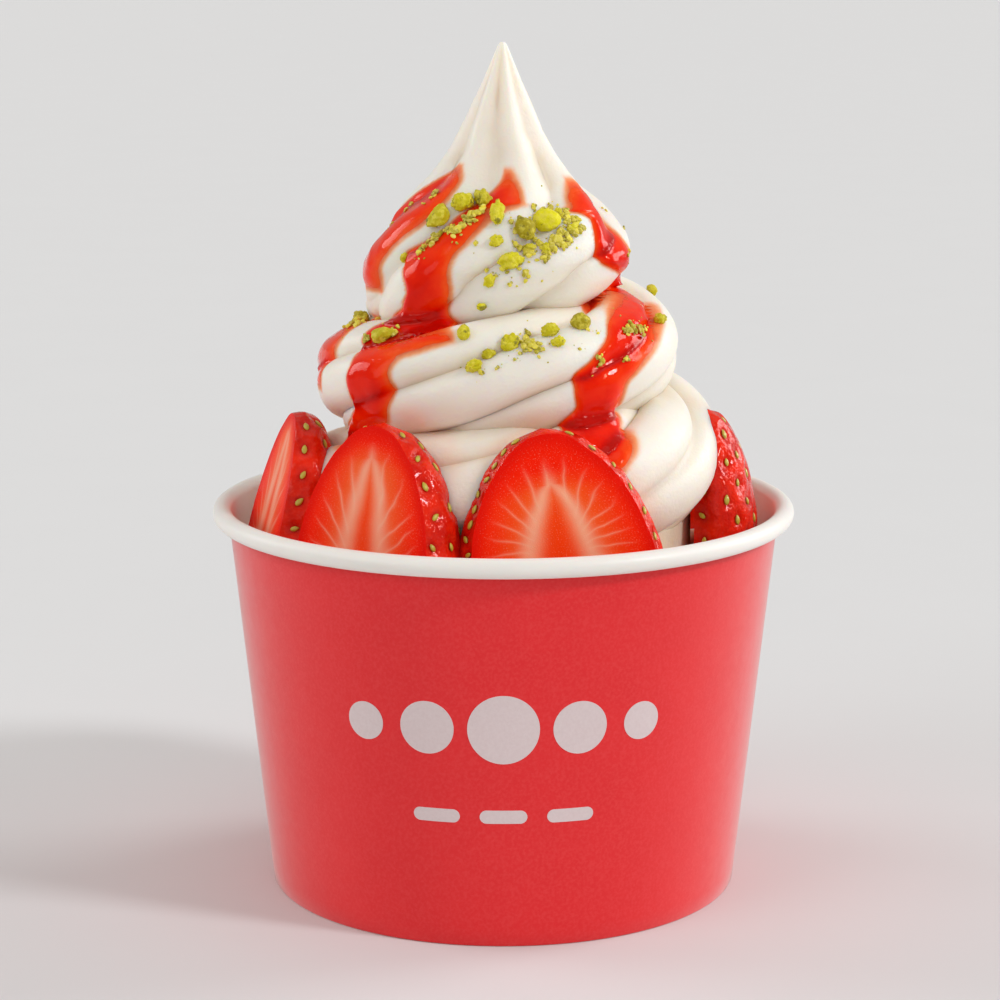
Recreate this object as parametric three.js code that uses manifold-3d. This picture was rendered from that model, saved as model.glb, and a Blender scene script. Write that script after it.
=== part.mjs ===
// Frozen yogurt cup: a rolled-rim paper tub, a fluted soft-serve swirl with strawberry sauce and
// pistachio pieces fused to it, and seven strawberry halves standing between the swirl and the wall.
// Millimetres, +Z up, the cup stands on Z = 0 and its axis is the Z axis.
// A point on the cup or the swirl is given by its azimuth: 0 is +X, 270 is the front (-Y).
import * as THREE from "three";
import Module from "manifold-3d";

// ---- paper cup
const CUP_HEIGHT = 64.15;
const RIM_RADIUS = 48.0;
const RIM_TUBE = 1.565;
const WALL_FOOT_RADIUS = 38.81;
const WALL_TOP_RADIUS = 45.29;
const WALL_TOP_Z = 61.0;
const PAPER = 0.6;
const RIM_CURL_END = -112;
const FOLD_HEIGHT = 6.0;
const FOLD_SLOT = 1.2;
const FOLD_FLOOR = 0.7;
const DISC_TOP_Z = 7.5;
const CUP_SEGMENTS = 56;
const GAP = 0.3;

// ---- yogurt in the cup and the fluted rope that is coiled on it
const FILL_TOP_Z = 56.0;
const FILL_GAP = 0.45;
const CORE_SEGMENTS = 23;
const COIL_FLUTES = 6;
const CAP_FLUTES = 7;
const FLUTE_DEPTH = 1.9;
const FLUTE_SHOULDER = 0.26;
const COIL_STEP = 10.15;
const COIL_ARCS = 3;
// solid heart of the swirl, inside the coil: radius, height
const CORE = [
  [0, 50],
  [31, 50],
  [31, 62],
  [25.5, 78],
  [22, 88],
  [16, 97],
  [14, 100],
  [0, 100],
];
// turn angle, outer radius, centre height, half height, half width
const COIL = [
  [-360, 33.0, 44.0, 8.0, 12.0],
  [-270, 35.5, 57.0, 10.0, 12.5],
  [-180, 36.3, 65.0, 11.5, 13.0],
  [-90, 35.6, 69.0, 12.0, 13.0],
  [-40, 36.3, 70.8, 12.2, 13.0],
  [0, 35.6, 73.0, 12.0, 13.0],
  [90, 32.4, 78.5, 11.0, 12.5],
  [180, 31.1, 84.6, 10.5, 12.0],
  [270, 29.4, 86.8, 10.8, 12.0],
  [360, 28.9, 89.5, 10.6, 12.0],
  [450, 25.8, 94.0, 9.5, 11.0],
  [540, 22.6, 97.0, 8.0, 10.0],
  [600, 19.0, 98.0, 6.0, 8.0],
];
// turn angle, twist of the rope's flutes round its own centre line
const COIL_TWIST = [
  [-360, -200],
  [-180, -20],
  [-111, 38],
  [-90, 53],
  [-50, 117],
  [-22, 150],
  [0, 180],
  [90, 275],
  [180, 365],
  [233, 420],
  [261, 449],
  [281, 473],
  [300, 490],
  [360, 545],
  [480, 640],
  [600, 730],
];
// the peak: radius, height
const CAP = [
  [0.0, 139.0],
  [0.4, 138.85],
  [0.8, 138.3],
  [1.25, 137.3],
  [2.3, 134.9],
  [3.5, 132.2],
  [4.75, 129.6],
  [6.0, 126.9],
  [7.25, 124.3],
  [8.75, 121.6],
  [10.5, 119.2],
  [11.7, 117.7],
  [14.3, 115.1],
  [16.9, 112.5],
  [18.8, 109.9],
  [20.6, 107.0],
  [21.5, 104.0],
  [21.4, 101.0],
  [20.3, 98.0],
  [18.0, 95.8],
  [14.0, 94.3],
  [8.0, 93.8],
  [0.0, 93.8],
];
// height, twist of the peak's flutes about the axis
const CAP_TWIST = [
  [90, 90],
  [93, 80],
  [97, 65],
  [100, 54],
  [102.5, 48],
  [105, 39.5],
  [107.5, 28],
  [110.3, 17],
  [113, 8],
  [115.5, -4],
  [118, -9],
  [122, -9],
  [126, -5],
  [139, -4],
];
const CAP_PHASE = 304;
const CAP_DIP_SHARE = 0.13;
const CAP_TILT = 2.6;
const CAP_TILT_FROM = 112;
const CAP_TILT_SPAN = 14;
const CAP_SHIFT = -0.1;
const CAP_LEAN = -1.2;

// ---- strawberry sauce, as bands that run down the swirl: height, azimuth of the two edges
const SAUCE_THICKNESS = 0.9;
const SAUCE_ROOT = 1.8;
const SAUCE_COLUMNS = 4;
const SAUCE_BRIDGE = 4;
const SAUCE_STRETCH = 1.06;
const SAUCES = [
  [
    [119.35, 218, 227],
    [114.8, 190, 231],
    [110.4, 176, 223],
    [105.6, 175, 206],
    [101.8, 180, 201],
    [99.2, 186, 197],
  ],
  [
    [119.4, 270, 277],
    [115.6, 256, 280],
    [110.8, 241, 258],
    [106.1, 221, 246],
    [101.5, 227, 245],
    [97.4, 224, 244],
    [94.3, 213, 250],
    [91.4, 215, 235],
    [87.8, 217, 231],
    [83.0, 217, 230],
    [78.6, 208, 222],
    [75.6, 207, 217],
  ],
  [
    [116.6, 321, 333],
    [113.6, 311, 352],
    [108.8, 318, 348],
    [104.6, 314, 354],
    [100.7, 337, 356],
    [98.4, 330, 350],
    [95.2, 310, 341],
    [91.6, 302, 325],
    [88.2, 294, 314],
    [84.4, 296, 309],
    [79.6, 290, 308],
    [73.4, 295, 299],
  ],
  [
    [94.4, 186, 198],
    [91.2, 178, 197],
    [87.2, 175, 193],
    [83.8, 185, 195],
  ],
  [
    [117.4, 58, 76],
    [112.8, 44, 75],
    [106.0, 41, 63],
    [100.2, 43, 57],
    [95.4, 35, 61],
    [90.0, 38, 53],
    [84.4, 41, 48],
  ],
  [
    [118.0, 127, 139],
    [113.6, 112, 142],
    [107.0, 107, 129],
    [100.2, 107, 123],
    [94.6, 99, 125],
    [88.0, 104, 119],
    [80.6, 100, 116],
    [75.6, 105, 111],
  ],
];

// ---- pistachio pieces on the swirl: azimuth, height, length, width, spin
const NUT_SINK = 0.28;
const NUT_JITTER = 0.14;
const NUTS = [
  [233, 111.9, 4.2, 3.0, 60],
  [243, 114.6, 3.3, 3.0, 20],
  [259, 115.1, 3.2, 2.6, 150],
  [267, 112.8, 3.7, 2.0, 95],
  [282, 111.0, 3.6, 3.4, 30],
  [295, 111.5, 3.9, 3.8, 0],
  [273, 105.8, 3.1, 2.4, 10],
  [256, 95.1, 3.1, 2.0, 85],
  [299, 96.3, 3.1, 2.9, 0],
  [287, 95.2, 2.4, 2.1, 30],
  [272, 93.4, 3.2, 2.7, 70],
  [195, 93.6, 3.6, 2.8, 10],
  [220, 93.1, 4.3, 2.5, 20],
  [342, 95.1, 2.0, 1.7, 0],
  [8, 98.4, 2.0, 2.0, 0],
  [52, 113.0, 3.6, 2.8, 40],
  [88, 109.5, 3.2, 2.6, 120],
  [150, 112.4, 3.4, 2.8, 70],
  [112, 96.2, 3.0, 2.4, 0],
  [70, 95.0, 2.8, 2.3, 30],
  [30, 93.0, 3.0, 2.2, 110],
];

// ---- strawberry halves: azimuth, tip radius, tip height, lean, yaw, roll, half width, length,
// ---- thickness, and whether the skin (1) or the cut face (0) looks outward
const BERRY_CLEARANCE = 0.5;
const BERRY_WALL_GAP = 0.4;
const BERRY_ROWS = 8;
const BERRY_COLUMNS = 16;
const BERRIES = [
  ["strawberry_front_right", 279.5, 35.4, 82.0, 9, -4, 8, 16.2, 37, 12.5, 0],
  ["strawberry_front_left", 238, 36.6, 82.3, 9, -8, -2, 14.8, 36, 15.5, 0],
  ["strawberry_left", 198, 35.2, 80.8, 14, -4, -8, 14.2, 35, 12.2, 0],
  ["strawberry_right", 355, 31.8, 79.6, 0, 0, 4, 12.0, 35, 10.5, 1],
  ["strawberry_back_right", 40, 35.4, 80.0, 10, 6, 5, 13.4, 35, 12.0, 0],
  ["strawberry_back", 92, 35.6, 81.0, 10, -6, -6, 13.8, 36, 12.0, 0],
  ["strawberry_back_left", 137, 34.0, 72.5, -6, 4, 4, 12.8, 33, 12.0, 1],
];
// distance from the tip, half width, both as shares of the whole
const BERRY_OUTLINE = [
  [0.0, 0.0],
  [0.034, 0.3],
  [0.108, 0.5],
  [0.18, 0.65],
  [0.29, 0.8],
  [0.44, 0.93],
  [0.6, 1.0],
  [0.78, 0.95],
  [0.9, 0.74],
  [0.97, 0.42],
  [1.0, 0.0],
];
const SEED_LENGTH = 1.9;
const SEED_WIDTH = 1.1;
const SEED_RISE = 0.28;
const SEED_RINGS = [
  [0.1, 3],
  [0.24, 4],
  [0.38, 5],
];

const wasm = await Module();
wasm.setup();
const radians = THREE.MathUtils.degToRad;

// smooth, never overshooting value of one column of a table at x
function sample(table, x, column = 1) {
  const last = table.length - 1;
  const clamped = Math.min(Math.max(x, table[0][0]), table[last][0]);
  let i = 0;
  while (i < last - 1 && clamped > table[i + 1][0]) i += 1;
  const slope = (k) => (table[k + 1][column] - table[k][column]) / (table[k + 1][0] - table[k][0]);
  const tangent = (k) => {
    if (k === 0) return slope(0);
    if (k === last) return slope(last - 1);
    const before = slope(k - 1);
    const after = slope(k);
    return before * after <= 0 ? 0 : (2 * before * after) / (before + after);
  };
  const width = table[i + 1][0] - table[i][0];
  const t = (clamped - table[i][0]) / width;
  const t2 = t * t;
  const t3 = t2 * t;
  return (
    (2 * t3 - 3 * t2 + 1) * table[i][column] +
    (t3 - 2 * t2 + t) * width * tangent(i) +
    (3 * t2 - 2 * t3) * table[i + 1][column] +
    (t3 - t2) * width * tangent(i + 1)
  );
}

// corners of a fluted section, as [angle, rise]: a sharp crease, then a broad band between two shoulders
function fluted(count) {
  const corners = [];
  for (let i = 0; i < count; i += 1) {
    corners.push([(360 * i) / count, 0]);
    corners.push([(360 * (i + FLUTE_SHOULDER)) / count, 1]);
    corners.push([(360 * (i + 1 - FLUTE_SHOULDER)) / count, 1]);
  }
  return corners;
}

function random(seed) {
  let state = seed;
  return () => {
    state = (state * 1664525 + 1013904223) % 4294967296;
    return state / 4294967296;
  };
}

// closed body from rings of points, each ring with the same number of points
function loft(rings) {
  const points = rings.flat();
  const count = rings[0].length;
  const triangles = [];
  for (let i = 0; i < rings.length - 1; i += 1) {
    for (let j = 0; j < count; j += 1) {
      const a = i * count + j;
      const b = i * count + ((j + 1) % count);
      const rising = points[a].distanceTo(points[b + count]);
      const falling = points[b].distanceTo(points[a + count]);
      if (rising < falling) triangles.push(a, b, b + count, a, b + count, a + count);
      else triangles.push(a, b, a + count, b, b + count, a + count);
    }
  }
  const ends = [rings[0], rings[rings.length - 1]];
  ends.forEach((ring, side) => {
    const centre = new THREE.Vector3();
    ring.forEach((point) => centre.addScaledVector(point, 1 / count));
    const hub = points.push(centre) - 1;
    const start = side === 0 ? 0 : (rings.length - 1) * count;
    for (let j = 0; j < count; j += 1) {
      const a = start + j;
      const b = start + ((j + 1) % count);
      if (side === 0) triangles.push(hub, b, a);
      else triangles.push(hub, a, b);
    }
  });
  const geometry = new THREE.BufferGeometry().setFromPoints(points);
  geometry.setIndex(triangles);
  return solid(geometry);
}

function solid(geometry) {
  const source = geometry.index ? geometry : geometry.clone();
  const position = source.attributes.position;
  const index = source.index ? source.index.array : null;
  const corners = index ? index.length : position.count;
  const known = new Map();
  const vertices = [];
  const triangles = [];
  for (let i = 0; i < corners; i += 1) {
    const k = index ? index[i] : i;
    const point = [position.getX(k), position.getY(k), position.getZ(k)];
    const key = point.map((value) => Math.round(value * 20000)).join();
    if (!known.has(key)) {
      known.set(key, vertices.length / 3);
      vertices.push(...point);
    }
    triangles.push(known.get(key));
  }
  const kept = [];
  for (let i = 0; i < triangles.length; i += 3) {
    const [a, b, c] = triangles.slice(i, i + 3);
    if (a !== b && b !== c && a !== c) kept.push(a, b, c);
  }
  const mesh = new wasm.Mesh({
    numProp: 3,
    vertProperties: new Float32Array(vertices),
    triVerts: new Uint32Array(kept),
  });
  const body = new wasm.Manifold(mesh);
  return body.volume() < 0 ? new wasm.Manifold(flipped(mesh)) : body;
}

function flipped(mesh) {
  const turned = mesh.triVerts.slice();
  for (let i = 0; i < turned.length; i += 3) {
    [turned[i], turned[i + 1]] = [turned[i + 1], turned[i]];
  }
  return new wasm.Mesh({ numProp: 3, vertProperties: mesh.vertProperties, triVerts: turned });
}

// the outer shell alone: bubbles sealed in by a join are filled and loose crumbs are dropped
function outerShell(body) {
  const shells = body.decompose();
  return shells.reduce((best, shell) => (shell.volume() > best.volume() ? shell : best));
}

function geometryOf(body) {
  const mesh = body.getMesh();
  const geometry = new THREE.BufferGeometry();
  const positions = new Float32Array(mesh.numVert * 3);
  for (let i = 0; i < mesh.numVert; i += 1) {
    for (let k = 0; k < 3; k += 1) {
      positions[i * 3 + k] = mesh.vertProperties[i * mesh.numProp + k];
    }
  }
  geometry.setAttribute("position", new THREE.BufferAttribute(positions, 3));
  geometry.setIndex(new THREE.BufferAttribute(new Uint32Array(mesh.triVerts), 1));
  geometry.computeVertexNormals();
  return geometry;
}

function node(name, geometry, color, roughness) {
  const mesh = new THREE.Mesh(geometry, new THREE.MeshStandardMaterial({ color, roughness }));
  mesh.name = name;
  return mesh;
}

function onAxis(points, segments = CUP_SEGMENTS) {
  const outline = points.map(([r, z]) => new THREE.Vector2(r, z));
  outline.push(outline[0].clone());
  const geometry = new THREE.LatheGeometry(outline, segments);
  geometry.rotateX(Math.PI / 2);
  return geometry;
}

// ---- cup
const wallOuter = (z) =>
  WALL_FOOT_RADIUS + ((WALL_TOP_RADIUS - WALL_FOOT_RADIUS) * z) / WALL_TOP_Z;
const wallInner = (z) => wallOuter(z) - PAPER;

function cupWall() {
  const curlRadius = RIM_RADIUS - RIM_TUBE;
  const curlZ = CUP_HEIGHT - RIM_TUBE;
  const curl = (radius, angle) => [
    curlRadius + radius * Math.cos(radians(angle)),
    curlZ + radius * Math.sin(radians(angle)),
  ];
  const outline = [[wallOuter(0), 0]];
  const inside = 5;
  for (let i = 0; i <= inside; i += 1) {
    outline.push(curl(RIM_TUBE - PAPER, 180 + ((RIM_CURL_END - 180) * i) / inside));
  }
  const outside = 10;
  for (let i = 0; i <= outside; i += 1) {
    outline.push(curl(RIM_TUBE, RIM_CURL_END + ((180 - RIM_CURL_END) * i) / outside));
  }
  outline.push([wallInner(FOLD_FLOOR), FOLD_FLOOR]);
  outline.push([wallInner(FOLD_FLOOR) - FOLD_SLOT, FOLD_FLOOR]);
  outline.push([wallInner(FOLD_HEIGHT) - FOLD_SLOT, FOLD_HEIGHT]);
  outline.push([wallInner(FOLD_HEIGHT) - FOLD_SLOT - PAPER, FOLD_HEIGHT]);
  outline.push([wallInner(0) - FOLD_SLOT - PAPER, 0]);
  return solid(onAxis(outline));
}

function cupBase() {
  const skirtFoot = FOLD_FLOOR + GAP;
  const discUnder = DISC_TOP_Z - PAPER;
  return solid(
    onAxis([
      [0, discUnder],
      [wallInner(discUnder) - GAP - PAPER, discUnder],
      [wallInner(skirtFoot) - GAP - PAPER, skirtFoot],
      [wallInner(skirtFoot) - GAP, skirtFoot],
      [wallInner(DISC_TOP_Z) - GAP, DISC_TOP_Z],
      [0, DISC_TOP_Z],
    ]),
  );
}

// ---- yogurt
function fillBody() {
  const foot = DISC_TOP_Z + GAP;
  const shoulder = FILL_TOP_Z - 1.2;
  return solid(
    onAxis([
      [0, foot],
      [wallInner(foot) - FILL_GAP, foot],
      [wallInner(shoulder) - FILL_GAP, shoulder],
      [wallInner(shoulder) - FILL_GAP - 1.4, FILL_TOP_Z],
      [0, FILL_TOP_Z],
    ]),
  );
}

function coilRing(turn) {
  const [outer, centreZ, halfHeight, halfWidth] = [1, 2, 3, 4].map((k) => sample(COIL, turn, k));
  const twist = sample(COIL_TWIST, turn);
  return fluted(COIL_FLUTES).map(([local, rise]) => {
    const dip = (1 - rise) * FLUTE_DEPTH;
    const angle = radians(local + twist);
    const radius = outer - halfWidth + (halfWidth - dip) * Math.cos(angle);
    return new THREE.Vector3(
      radius * Math.cos(radians(turn)),
      radius * Math.sin(radians(turn)),
      centreZ + (halfHeight - dip) * Math.sin(angle),
    );
  });
}

// the rope in arcs of less than one turn, so that its turns are joined where they press together
function coilBody() {
  const first = COIL[0][0];
  const steps = Math.round((COIL[COIL.length - 1][0] - first) / COIL_STEP);
  const arcs = [];
  for (let arc = 0; arc < COIL_ARCS; arc += 1) {
    const start = Math.round((steps * arc) / COIL_ARCS);
    const end = Math.round((steps * (arc + 1)) / COIL_ARCS);
    const rings = [];
    for (let i = start; i <= end; i += 1) rings.push(coilRing(first + i * COIL_STEP));
    arcs.push(loft(rings));
  }
  return wasm.Manifold.union(arcs);
}

function capBody() {
  const rings = [];
  for (let i = 1; i < CAP.length - 1; i += 1) {
    const [radius, height] = CAP[i];
    const run = new THREE.Vector2(CAP[i + 1][0] - CAP[i - 1][0], CAP[i + 1][1] - CAP[i - 1][1]);
    run.normalize();
    const twist = sample(CAP_TWIST, height);
    const sink = THREE.MathUtils.smoothstep(CAP_TILT_FROM - height, 0, CAP_TILT_SPAN);
    const ring = fluted(CAP_FLUTES).map(([local, rise]) => {
      const dip = (1 - rise) * Math.min(FLUTE_DEPTH, CAP_DIP_SHARE * radius);
      const angle = radians(CAP_PHASE - twist + local);
      const out = radius + dip * run.y;
      return new THREE.Vector3(
        out * Math.cos(angle) + CAP_SHIFT + CAP_LEAN * sink,
        out * Math.sin(angle),
        height - dip * run.x + sink * CAP_TILT * Math.cos(angle),
      );
    });
    rings.push(ring.reverse());
  }
  return loft(rings);
}

// finds where a level ray from outside first meets the swirl
function draper(body) {
  const skin = new THREE.Mesh(geometryOf(body), new THREE.MeshBasicMaterial());
  skin.material.side = THREE.DoubleSide;
  const caster = new THREE.Raycaster();
  return (azimuth, height) => {
    const outward = new THREE.Vector3(Math.cos(radians(azimuth)), Math.sin(radians(azimuth)), 0);
    const from = outward.clone().multiplyScalar(90);
    from.z = height;
    caster.set(from, outward.clone().negate());
    const hit = caster.intersectObject(skin)[0];
    const normal = hit.face.normal.clone();
    if (normal.dot(outward) < 0) normal.negate();
    normal.addScaledVector(outward, 1.5).normalize();
    return { point: hit.point, normal };
  };
}

// the sauce bridges the creases: it lies on the outermost of three neighbouring rays
function sauceBody(rows, drape) {
  const rings = rows.map(([height, from, to]) => {
    const upper = [];
    const lower = [];
    for (let j = 0; j < SAUCE_COLUMNS; j += 1) {
      const across = j / (SAUCE_COLUMNS - 1);
      const azimuth = from + (to - from) * across;
      const { point, normal } = drape(azimuth, height);
      const reach = [-SAUCE_BRIDGE, 0, SAUCE_BRIDGE].map((turn) => {
        const near = drape(azimuth + turn, height).point;
        return Math.hypot(near.x, near.y);
      });
      lower.push(point.clone().addScaledVector(normal, -SAUCE_ROOT));
      const stretch = Math.min(Math.max(...reach) / Math.hypot(point.x, point.y), SAUCE_STRETCH);
      point.x *= stretch;
      point.y *= stretch;
      const rise = SAUCE_THICKNESS * (0.25 + 0.75 * Math.sin(Math.PI * across));
      upper.push(point.clone().addScaledVector(normal, rise));
    }
    return upper.concat(lower.reverse());
  });
  return loft(rings);
}

function nutBody([azimuth, height, length, width, spin], drape, draw) {
  const { point, normal } = drape(azimuth, height);
  const shape = new THREE.IcosahedronGeometry(1, 0);
  const position = shape.attributes.position;
  const moved = new Map();
  for (let i = 0; i < position.count; i += 1) {
    const key = [position.getX(i), position.getY(i), position.getZ(i)].map((v) => v.toFixed(3)).join();
    if (!moved.has(key)) moved.set(key, 1 + NUT_JITTER * (2 * draw() - 1));
    const scale = moved.get(key);
    position.setXYZ(i, position.getX(i) * scale, position.getY(i) * scale, position.getZ(i) * scale);
  }
  shape.scale(length / 2, width / 2, width / 2.2);
  shape.rotateZ(radians(spin));
  const facing = new THREE.Quaternion().setFromUnitVectors(new THREE.Vector3(0, 0, 1), normal);
  shape.applyQuaternion(facing);
  const seat = point.clone().addScaledVector(normal, (0.5 - NUT_SINK) * width);
  shape.translate(seat.x, seat.y, seat.z);
  return solid(shape);
}

// ---- strawberries
function berryFrame([, azimuth, tipRadius, tipZ, lean, yaw, roll, , , , skinOut]) {
  const outward = new THREE.Vector3(
    Math.cos(radians(azimuth + yaw)),
    Math.sin(radians(azimuth + yaw)),
    0,
  );
  const up = new THREE.Vector3(0, 0, 1);
  const along = up.clone().multiplyScalar(Math.cos(radians(lean)));
  along.addScaledVector(outward, -Math.sin(radians(lean)));
  const face = outward.clone().multiplyScalar(Math.cos(radians(lean)));
  face.addScaledVector(up, Math.sin(radians(lean)));
  along.applyAxisAngle(face, radians(roll));
  const across = new THREE.Vector3().crossVectors(along, face).normalize();
  const cut = skinOut ? face.clone().negate() : face;
  if (skinOut) across.negate();
  const frame = new THREE.Matrix4().makeBasis(across, cut.clone().negate(), along);
  frame.setPosition(
    tipRadius * Math.cos(radians(azimuth)),
    tipRadius * Math.sin(radians(azimuth)),
    tipZ,
  );
  return frame;
}

function berryBody(berry, grow = 0) {
  const [halfWidth, length, thickness] = berry.slice(7, 10);
  const profile = [];
  for (let i = 0; i <= BERRY_ROWS + 1; i += 1) {
    const t = (1 - Math.cos((Math.PI * i) / (BERRY_ROWS + 1))) / 2;
    const share = sample(BERRY_OUTLINE, t);
    const width = share * halfWidth + (share > 0 ? grow : 0);
    profile.push(new THREE.Vector2(width, -t * length + grow - 2 * grow * t));
  }
  const whole = new THREE.LatheGeometry(profile.reverse(), BERRY_COLUMNS);
  whole.rotateX(Math.PI / 2);
  whole.scale(1, thickness / halfWidth, 1);
  const half = solid(whole).trimByPlane([0, 1, 0], -grow);
  return half.transform(berryFrame(berry).elements);
}

// everything that the berries may fill: inside the wall, clear of the rim, and free above it
function roomBody() {
  const rimInside = RIM_RADIUS - 2 * RIM_TUBE - BERRY_WALL_GAP;
  const overRim = CUP_HEIGHT + BERRY_WALL_GAP;
  return solid(
    onAxis([
      [0, DISC_TOP_Z],
      [wallInner(DISC_TOP_Z) - BERRY_WALL_GAP, DISC_TOP_Z],
      [wallInner(WALL_TOP_Z) - BERRY_WALL_GAP, WALL_TOP_Z],
      [rimInside, overRim],
      [2 * RIM_RADIUS, overRim],
      [2 * RIM_RADIUS, 2 * CUP_HEIGHT],
      [0, 2 * CUP_HEIGHT],
    ]),
  );
}

function seedBody(berry, t, angle) {
  const [halfWidth, length, thickness] = berry.slice(7, 10);
  const share = sample(BERRY_OUTLINE, t);
  const seat = new THREE.Vector3(
    halfWidth * share * Math.cos(angle),
    thickness * share * Math.sin(angle),
    -t * length,
  );
  const step = 0.02;
  const slope = (sample(BERRY_OUTLINE, t + step) - share) / step / length;
  const normal = new THREE.Vector3(
    Math.cos(angle) / halfWidth,
    Math.sin(angle) / thickness,
    slope * 1.0,
  );
  normal.normalize();
  const shape = new THREE.OctahedronGeometry(1, 0);
  shape.scale(SEED_WIDTH / 2, SEED_RISE * 2, SEED_LENGTH / 2);
  const facing = new THREE.Quaternion().setFromUnitVectors(new THREE.Vector3(0, 1, 0), normal);
  shape.applyQuaternion(facing);
  seat.addScaledVector(normal, -SEED_RISE);
  shape.translate(seat.x, seat.y, seat.z);
  return solid(shape).transform(berryFrame(berry).elements);
}

function strawberry(berry) {
  const seeds = [];
  SEED_RINGS.forEach(([t, count], ring) => {
    for (let i = 0; i < count; i += 1) {
      const spread = (i + 0.5 + (ring % 2 ? 0.12 : -0.12)) / count;
      seeds.push(seedBody(berry, t, Math.PI * spread));
    }
  });
  return wasm.Manifold.union([berryBody(berry), ...seeds]).intersect(roomBody());
}

function yogurt() {
  const swirl = wasm.Manifold.union([fillBody(), solid(onAxis(CORE, CORE_SEGMENTS)), coilBody(), capBody()]);
  const drape = draper(swirl);
  const draw = random(7);
  const sauces = SAUCES.map((rows) => sauceBody(rows, drape));
  const nuts = NUTS.map((nut) => nutBody(nut, drape, draw));
  const dressed = wasm.Manifold.union([swirl, ...sauces, ...nuts]);
  const pockets = BERRIES.map((berry) => berryBody(berry, BERRY_CLEARANCE));
  return outerShell(dressed.subtract(wasm.Manifold.union(pockets)));
}

const cup = new THREE.Group();
cup.name = "frozen_yogurt_cup";
cup.add(node("cup_wall", geometryOf(cupWall()), 0xd23a40, 0.6));
cup.add(node("cup_base", geometryOf(cupBase()), 0xf2efe8, 0.7));
cup.add(node("yogurt", geometryOf(yogurt()), 0xfbf7ef, 0.45));
BERRIES.forEach((berry) => {
  cup.add(node(berry[0], geometryOf(strawberry(berry)), 0xd8261c, 0.35));
});

export default cup;
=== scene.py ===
"""Frozen yogurt in a paper cup: a printed card tub, strawberry halves standing round a fluted
soft-serve swirl, strawberry sauce run down the swirl, and chopped pistachio scattered on it.
Metres, +Z up, the cup stands on Z = 0; sizes are written in mm and brought to metres by MM.
Azimuth 0 is +X and 270 is the front."""
import math
from collections import namedtuple

import bpy
import numpy as np
from mathutils import Matrix, Vector, noise
from mathutils.bvhtree import BVHTree


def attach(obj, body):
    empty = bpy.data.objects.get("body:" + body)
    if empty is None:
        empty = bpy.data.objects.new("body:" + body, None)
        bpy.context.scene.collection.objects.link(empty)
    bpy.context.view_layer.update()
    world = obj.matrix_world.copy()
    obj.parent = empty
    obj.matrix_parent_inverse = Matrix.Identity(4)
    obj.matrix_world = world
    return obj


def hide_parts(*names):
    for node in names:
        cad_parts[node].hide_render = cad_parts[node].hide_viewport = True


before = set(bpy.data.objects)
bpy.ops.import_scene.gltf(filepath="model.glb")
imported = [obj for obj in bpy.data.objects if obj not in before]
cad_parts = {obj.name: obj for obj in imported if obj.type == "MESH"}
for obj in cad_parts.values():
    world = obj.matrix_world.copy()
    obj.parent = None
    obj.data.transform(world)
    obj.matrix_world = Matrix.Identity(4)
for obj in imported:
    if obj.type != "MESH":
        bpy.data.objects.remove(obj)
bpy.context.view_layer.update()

# ---- Floor, camera and light
# A plain pale tabletop that runs out of sight, lit by an even sky, one hard lamp from the right of
# the front, a soft one along each side, and weak ones from the left, the front and above.
MM = 0.001
LAMP_COLOUR = (0.96, 0.975, 1.0)
# name, azimuth, height above the table, strength, width in the sky
LAMPS = [
    ("key_lamp", 335, 34, 1.25, 10),
    ("right_edge_lamp", 25, 22, 1.2, 28),
    ("left_edge_lamp", 160, 22, 0.8, 28),
    ("fill_lamp", 215, 28, 0.5, 35),
    ("front_lamp", 280, 20, 0.2, 40),
    ("top_lamp", 270, 85, 0.25, 40),
]


def select_only(*pieces):
    """selects these objects and nothing else; the first is the one that operators work on"""
    bpy.ops.object.select_all(action="DESELECT")
    for piece in pieces[::-1]:
        piece.select_set(True)
        bpy.context.view_layer.objects.active = piece


def finish(name, **settings):
    """a new material: the material, its node tree and its shader, with the shader's sockets set"""
    material = bpy.data.materials.new(name)
    material.use_nodes = True
    shader = material.node_tree.nodes["Principled BSDF"]
    for socket, value in settings.items():
        shader.inputs[socket.replace("_", " ")].default_value = value
    return material, material.node_tree, shader


def grain(tree, size, detail=3.0, roughness=0.55, offset=0.0):
    """even noise with lumps about size millimetres across, fixed to the piece"""
    place = tree.nodes.new("ShaderNodeTexCoord")
    shift = tree.nodes.new("ShaderNodeMapping")
    shift.inputs["Location"].default_value = (offset, offset * 0.7, offset * 1.3)
    lumps = tree.nodes.new("ShaderNodeTexNoise")
    lumps.inputs["Scale"].default_value = 1.0 / (size * MM)
    lumps.inputs["Detail"].default_value = detail
    lumps.inputs["Roughness"].default_value = roughness
    tree.links.new(place.outputs["Object"], shift.inputs["Vector"])
    tree.links.new(shift.outputs["Vector"], lumps.inputs["Vector"])
    return lumps.outputs["Fac"]


def blend(tree, amount, low, high):
    """a colour between low and high, each a colour or a colour socket"""
    mix = tree.nodes.new("ShaderNodeMix")
    mix.data_type = "RGBA"
    for socket, value in ((mix.inputs[0], amount), (mix.inputs[6], low), (mix.inputs[7], high)):
        if isinstance(value, bpy.types.NodeSocket):
            tree.links.new(value, socket)
        else:
            socket.default_value = value
    return mix.outputs[2]


select_only()
bpy.ops.mesh.primitive_plane_add(size=40, location=(0, 0, 0))
table_top = bpy.context.object
table_top.name = "table_top"
pale, tree, shader = finish("pale table", Roughness=0.7)
tone = blend(tree, grain(tree, 40), (0.715, 0.715, 0.715, 1), (0.73, 0.73, 0.73, 1))
tree.links.new(tone, shader.inputs["Base Color"])
table_top.data.materials.append(pale)

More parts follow.
